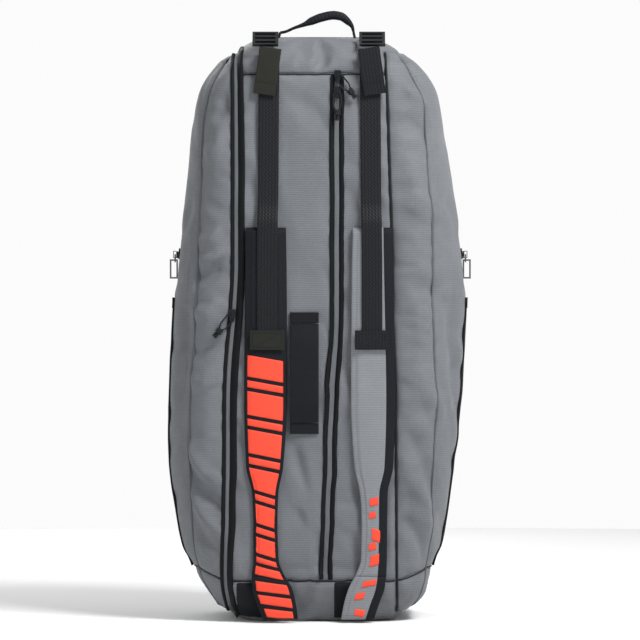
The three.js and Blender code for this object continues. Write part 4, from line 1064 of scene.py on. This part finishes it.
# Grab handle: a bowed, padded strap in two halves that meet in the middle, and its sewn ends.
GRAB_X, GRAB_WIDTH, GRAB_BOTH = -18, 38, 653  # the last is the lowest height and the highest one, added
GRAB = [(-162.9, 262), (-163.8, 267), (-167.0, 278), (-168.8, 290), (-169.2, 326.5)]
for half, flip in (("lower", 1), ("upper", -1)):
    path = [(GRAB_X, y, z if flip > 0 else GRAB_BOTH - z) for y, z in GRAB]
    path = through([tuple(p) for p in path][::flip])
    piece = sweep(f"grab_handle_{half}_half", path, (GRAB_WIDTH, 3.6), black_cloth, corner=0.35)
    piece, piece
    fixed, free = ((0.263, 0.300) if half == "lower" else (0.390, 0.353))
    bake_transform(piece)
    if half == "lower":
        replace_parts(piece, "grab_handle")
    z0, z1 = (247, 261) if half == "lower" else (392, 406)
    end = sweep(f"grab_handle_{half}_end", [(GRAB_X, -162.0, z) for z in np.linspace(z0, z1, 5)], (GRAB_WIDTH, 2.0),
                black_cloth, corner=0.35)
    end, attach(end, "root"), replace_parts(end, f"grab_handle_{half}_end")

# ------------------------------------------------------------------ side pockets and their zips
def side_patch(name, side, y_span, z_span, lift, material, body, node=None, rim=True):
    """A panel laid on the bag's side, off the skin by lift mm."""
    sign = -1 if side == "left" else 1
    ys = np.linspace(*y_span, max(3, int((y_span[1] - y_span[0]) / 5)))
    zs = np.linspace(*z_span, max(3, int((z_span[1] - z_span[0]) / 5)))
    places, uv = [], []
    reach = np.zeros((len(zs), len(ys)))
    for i, z in enumerate(zs):
        for j, y in enumerate(ys):
            hit = skin.ray_cast(Vector((sign * 400, y, z)) * MM, Vector((-sign, 0, 0)))[0]
            reach[i, j] = abs(hit.x) / MM
    wide = np.pad(reach, 3, mode="edge")
    even = sum(wide[a:a + len(zs), b:b + len(ys)] for a in range(7) for b in range(7)) / 49
    reach = np.maximum(reach, even)
    for i, z in enumerate(zs):
        for j, y in enumerate(ys):
            across, up = (y - ys[0]) / (ys[-1] - ys[0]), (z - zs[0]) / (zs[-1] - zs[0])
            swell = 0.7 * math.sin(math.pi * across) * math.sin(math.pi * up) if rim else 0
            places.append((sign * (reach[i, j] + lift + 0.4 + swell), y, z))
            uv.append((y, z))
    n = len(ys)
    quads = []
    for i in range(len(zs) - 1):
        for j in range(n - 1):
            quad = (i * n + j, i * n + j + 1, (i + 1) * n + j + 1, (i + 1) * n + j)
            quads.append(quad if sign > 0 else quad[::-1])
    piece = mesh_piece(name, places, quads, [material], uv)
    wall = piece.modifiers.new("wall", "SOLIDIFY")
    wall.thickness, wall.offset = (lift + 1.0) * MM, -1
    apply_all(piece)
    piece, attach(piece, body)
    if node:
        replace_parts(piece, node)
    return piece


for side in ("left", "right"):
    body = f"{side}_cover"
    pocket = side_patch(f"{side}_side_pocket", side, (-91, 91), (71, 424), 1.8, black_cloth, body,
                        f"{side}_side_pocket")
    side_patch(f"{side}_pocket_hem", side, (-91, 91), (412, 426), 2.6, tape_cloth, body, rim=False)
    side_patch(f"{side}_pocket_zip", side, (-86, 86), (477, 491), 1.4, tape_cloth, body,
               f"{side}_pocket_zip", rim=False)
    side_patch(f"{side}_pocket_zip_coil", side, (-85, 85), (482.2, 485.8), 1.9, zip_teeth, body, rim=False)

# ------------------------------------------------------------------ dividers and hardware
def painted(node, material, bevel=0.35):
    """A CAD node that keeps its shape, with rounded edges and its real finish."""
    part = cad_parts[node]
    part.data.materials.clear()
    part.data.materials.append(material)
    if bevel:
        edge = part.modifiers.new("edge", "BEVEL")
        edge.width, edge.segments, edge.limit_method = bevel * MM, 2, "ANGLE"
    return part


# Zinc alloy with black satin lacquer, rubbed bright on its edges.
lacquer, tree, shader = new_material("lacquered_zinc_black", "#2a2c2f", 0.3, metallic=0.9)
grained(tree, shader, 900.0, 3.0, roughness=(0.24, 0.46))
# Nickel-plated steel wire of the side zips' rings and pulls.
nickel, tree, shader = new_material("nickel_plated_steel", "#6b6d70", 0.28, metallic=1.0)
grained(tree, shader, 1200.0, 2.0, roughness=(0.2, 0.4))
# Acetal of the ladder locks, moulded with a fine spark-eroded grain.
acetal, tree, shader = new_material("moulded_acetal_black", "#141517", 0.45)
shader.inputs["IOR"].default_value = 1.48
grained(tree, shader, 2200.0, 2.0, relief=0.12)
# Stiffened board in the base: polyethylene sheet.
sheet_plastic, tree, shader = new_material("extruded_polyethylene_sheet", "#2c2d2f", 0.5)
grained(tree, shader, 300.0, 4.0, relief=0.2)
for node in ("left_zip_slider", "centre_zip_upper_slider", "centre_zip_lower_slider", "rear_zip_slider"):
    painted(node, lacquer)
for side in ("left", "right"):
    painted(f"{side}_pocket_slider", lacquer)
    painted(f"{side}_pocket_link", nickel, 0)
    painted(f"{side}_pocket_pull", nickel, 0.5)
    painted(f"{side}_ladder_lock", acetal, 0.7)
painted("base_board", sheet_plastic, 0.6)


# The frame's straight zip lines run from the base seam to the top panel's seam.
TOP_PANEL = 732.0


def left_line(z):
    """X of the left zip's straight line at a height, in mm."""
    return -118 + 11 * (z - BASE_SEAM) / (TOP_PANEL - BASE_SEAM)


def centre_line(z):
    """X of the slit's straight line at a height, in mm."""
    return 10 + 16 * (z - BASE_SEAM) / (TOP_PANEL - BASE_SEAM)


DIVIDER_ROWS, DIVIDER_COLUMNS, DIVIDER_GAP = 150, 50, 8  # the gap is to the front and rear skin
for side, node in (("left", "left_divider"), ("right", "right_divider")):
    low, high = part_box(node)
    zs = np.linspace(low[2] / MM + 1, high[2] / MM - 1, DIVIDER_ROWS)
    rows = []
    for z in zs:
        x = left_line(z) + 1.9 if side == "left" else 102.2
        left, right, front, rear = smooth_rows(OUTLINE, z)[0]
        reach = left if side == "left" else right
        radius = min(CORNER, CORNER_SHARE * (left + right), CORNER_SHARE * (front + rear))
        beyond = max(0, abs(x) - (reach - radius))
        cut = radius - math.sqrt(max(0, radius**2 - min(beyond, radius) ** 2))
        if abs(x) > reach - 6:
            continue
        y0, y1 = -front + cut + DIVIDER_GAP, rear - cut - DIVIDER_GAP
        rows.append([(x, y0 + (y1 - y0) * t, z) for t in np.linspace(0, 1, DIVIDER_COLUMNS)])
    grid_rows = np.array(rows)
    ripple = np.array([[1.3 * noise.noise(Vector((0, p[1] * 0.012, p[2] * 0.01))) for p in row] for row in grid_rows])
    grid_rows[:, :, 0] += ripple
    n = DIVIDER_COLUMNS
    quads = [(i * n + j, i * n + j + 1, (i + 1) * n + j + 1, (i + 1) * n + j)
             for i in range(len(rows) - 1) for j in range(n - 1)]
    flat = grid_rows.reshape(-1, 3)
    piece = mesh_piece(node, flat, quads, [lining_cloth], flat[:, 1:])
    wall = piece.modifiers.new("wall", "SOLIDIFY")
    wall.thickness, wall.offset = 2.4 * MM, 0
    apply_all(piece)
    piece, piece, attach(piece, "root"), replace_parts(piece, node)

# ------------------------------------------------------------------ cord pulls
# Braided polyester cord, 2 mm thick.
braid, tree, shader = new_material("braided_polyester_cord", "#16171a", 0.6, sheen=0.03)
shader.inputs["Specular IOR Level"].default_value = CLOTH_GLOSS
plait = add(tree, "ShaderNodeTexWave", {"Vector": add(tree, "ShaderNodeTexCoord").outputs["Object"],
                                        "Scale": WAVE / (1.6 * MM), "Distortion": 2.0},
            wave_type="BANDS", bands_direction="DIAGONAL")
tone = add(tree, "ShaderNodeMix", {0: plait.outputs["Fac"], 6: linear("#101113"), 7: linear("#2b2d30")},
           data_type="RGBA")
relief = add(tree, "ShaderNodeBump", {"Height": plait.outputs["Fac"], "Distance": 0.4 * MM})
tree.links.new(tone.outputs[2], shader.inputs["Base Color"])
tree.links.new(relief.outputs[0], shader.inputs["Normal"])
EYE_OUT = 0.3 + 4.65  # a slider's eye, off the cloth
# The loop's points, from the knot through the eye and back, as mm across and up from the eye.
LOOP = [(-1.3, -24.5), (-2.6, -22.3), (-4.2, -19.4), (-5.0, -16), (-5.1, -12), (-5.1, -8), (-5.0, -4.5),
        (-4.3, -1.4), (-2.6, -0.1), (-1.2, 0), (0, 0), (1.2, 0), (2.6, -0.1), (4.3, -1.4), (5.0, -4.5), (5.1, -8),
        (5.1, -12), (5.0, -16), (4.2, -19.4), (2.6, -22.3), (1.3, -24.5)]
CORD_DIAMETER, KNOT_DROP, KNOT_OUT, KNOT_TURNS = 2.0, -26.5, 1.6, 3


def cord_pull(name, x, face, z, turn, out, body, node):
    """A loop of cord through a slider's eye, its knot, and its frayed end."""
    turned = Matrix.Rotation(turn, 3, "Y")
    centre = Vector((x, face + out * EYE_OUT, z))
    path = [(centre + turned @ Vector((a, 0, b))) * MM for a, b in LOOP]
    curve = bpy.data.curves.new(f"{name}_cord", "CURVE")
    curve.dimensions = "3D"
    curve.bevel_depth, curve.bevel_resolution, curve.resolution_u = CORD_DIAMETER / 2 * MM, 3, 4
    spline = curve.splines.new("POLY")
    fine_path = through([tuple(p / MM) for p in path], 0.9)
    spline.points.add(len(fine_path) - 1)
    for slot_point, p in zip(spline.points, fine_path):
        slot_point.co = (*(p * MM), 1)
    cord_piece = bpy.data.objects.new(f"{name}_cord", curve)
    scene.collection.objects.link(cord_piece)
    curve.materials.append(braid)
    # The knot: three turns of the same cord round the two legs.
    knot_centre = Vector((0, out * KNOT_OUT, KNOT_DROP))
    wound = 2 * KNOT_TURNS * math.pi
    turns = [Vector((3.3 * math.cos(a), 2.6 * math.sin(a), 2.9 - 5.8 * a / wound)) for a in np.linspace(0, wound, 40)]
    knot_path = [centre + turned @ (knot_centre + p) for p in turns]
    knot = sweep(f"{name}_knot", knot_path, (2.7, 2.7), braid, across=turned @ Vector((0.1, 0.2, 1)), corner=1.0,
                 sides=2)
    ends = []
    for number, (dx, dy) in enumerate(((-2.6, 0.2), (-0.4, -0.6), (2.5, 0.3), (1.0, 0.9))):
        tip = [knot_centre + Vector((dx * (0.5 + 0.16 * k), dy * out * 0.5 * k, -2.4 - 2.1 * k)) for k in range(5)]
        ends.append(sweep(f"{name}_end_{number}", [centre + turned @ p for p in tip],
                          [(wide, wide) for wide in (2.2, 2.5, 2.4, 2.1, 1.2)], braid,
                          across=turned @ Vector((1, 0, 0)), corner=1.0, sides=2))
    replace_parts(cord_piece, node)
    for piece in [cord_piece, knot] + ends:
        piece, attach(piece, body)


# Each pull with its body, its x and the cloth's y, its height, its turn in degrees and the way out.
for name, body, x, face, z, turn, out in (
        ("left_zip_pull", "left_pull", left_line(402), -158, 402, 40, -1),
        ("centre_zip_upper_pull", "centre_upper_pull", centre_line(715), -158, 715, -40, -1),
        ("centre_zip_lower_pull", "centre_lower_pull", centre_line(694), -158, 694, 0, -1),
        ("rear_zip_pull", "rear_pull", 104, 162, 500, 0, 1)):
    cord_pull(name, x, face, z, math.radians(turn), out, body, name)

bpy.data.objects.remove(shell)
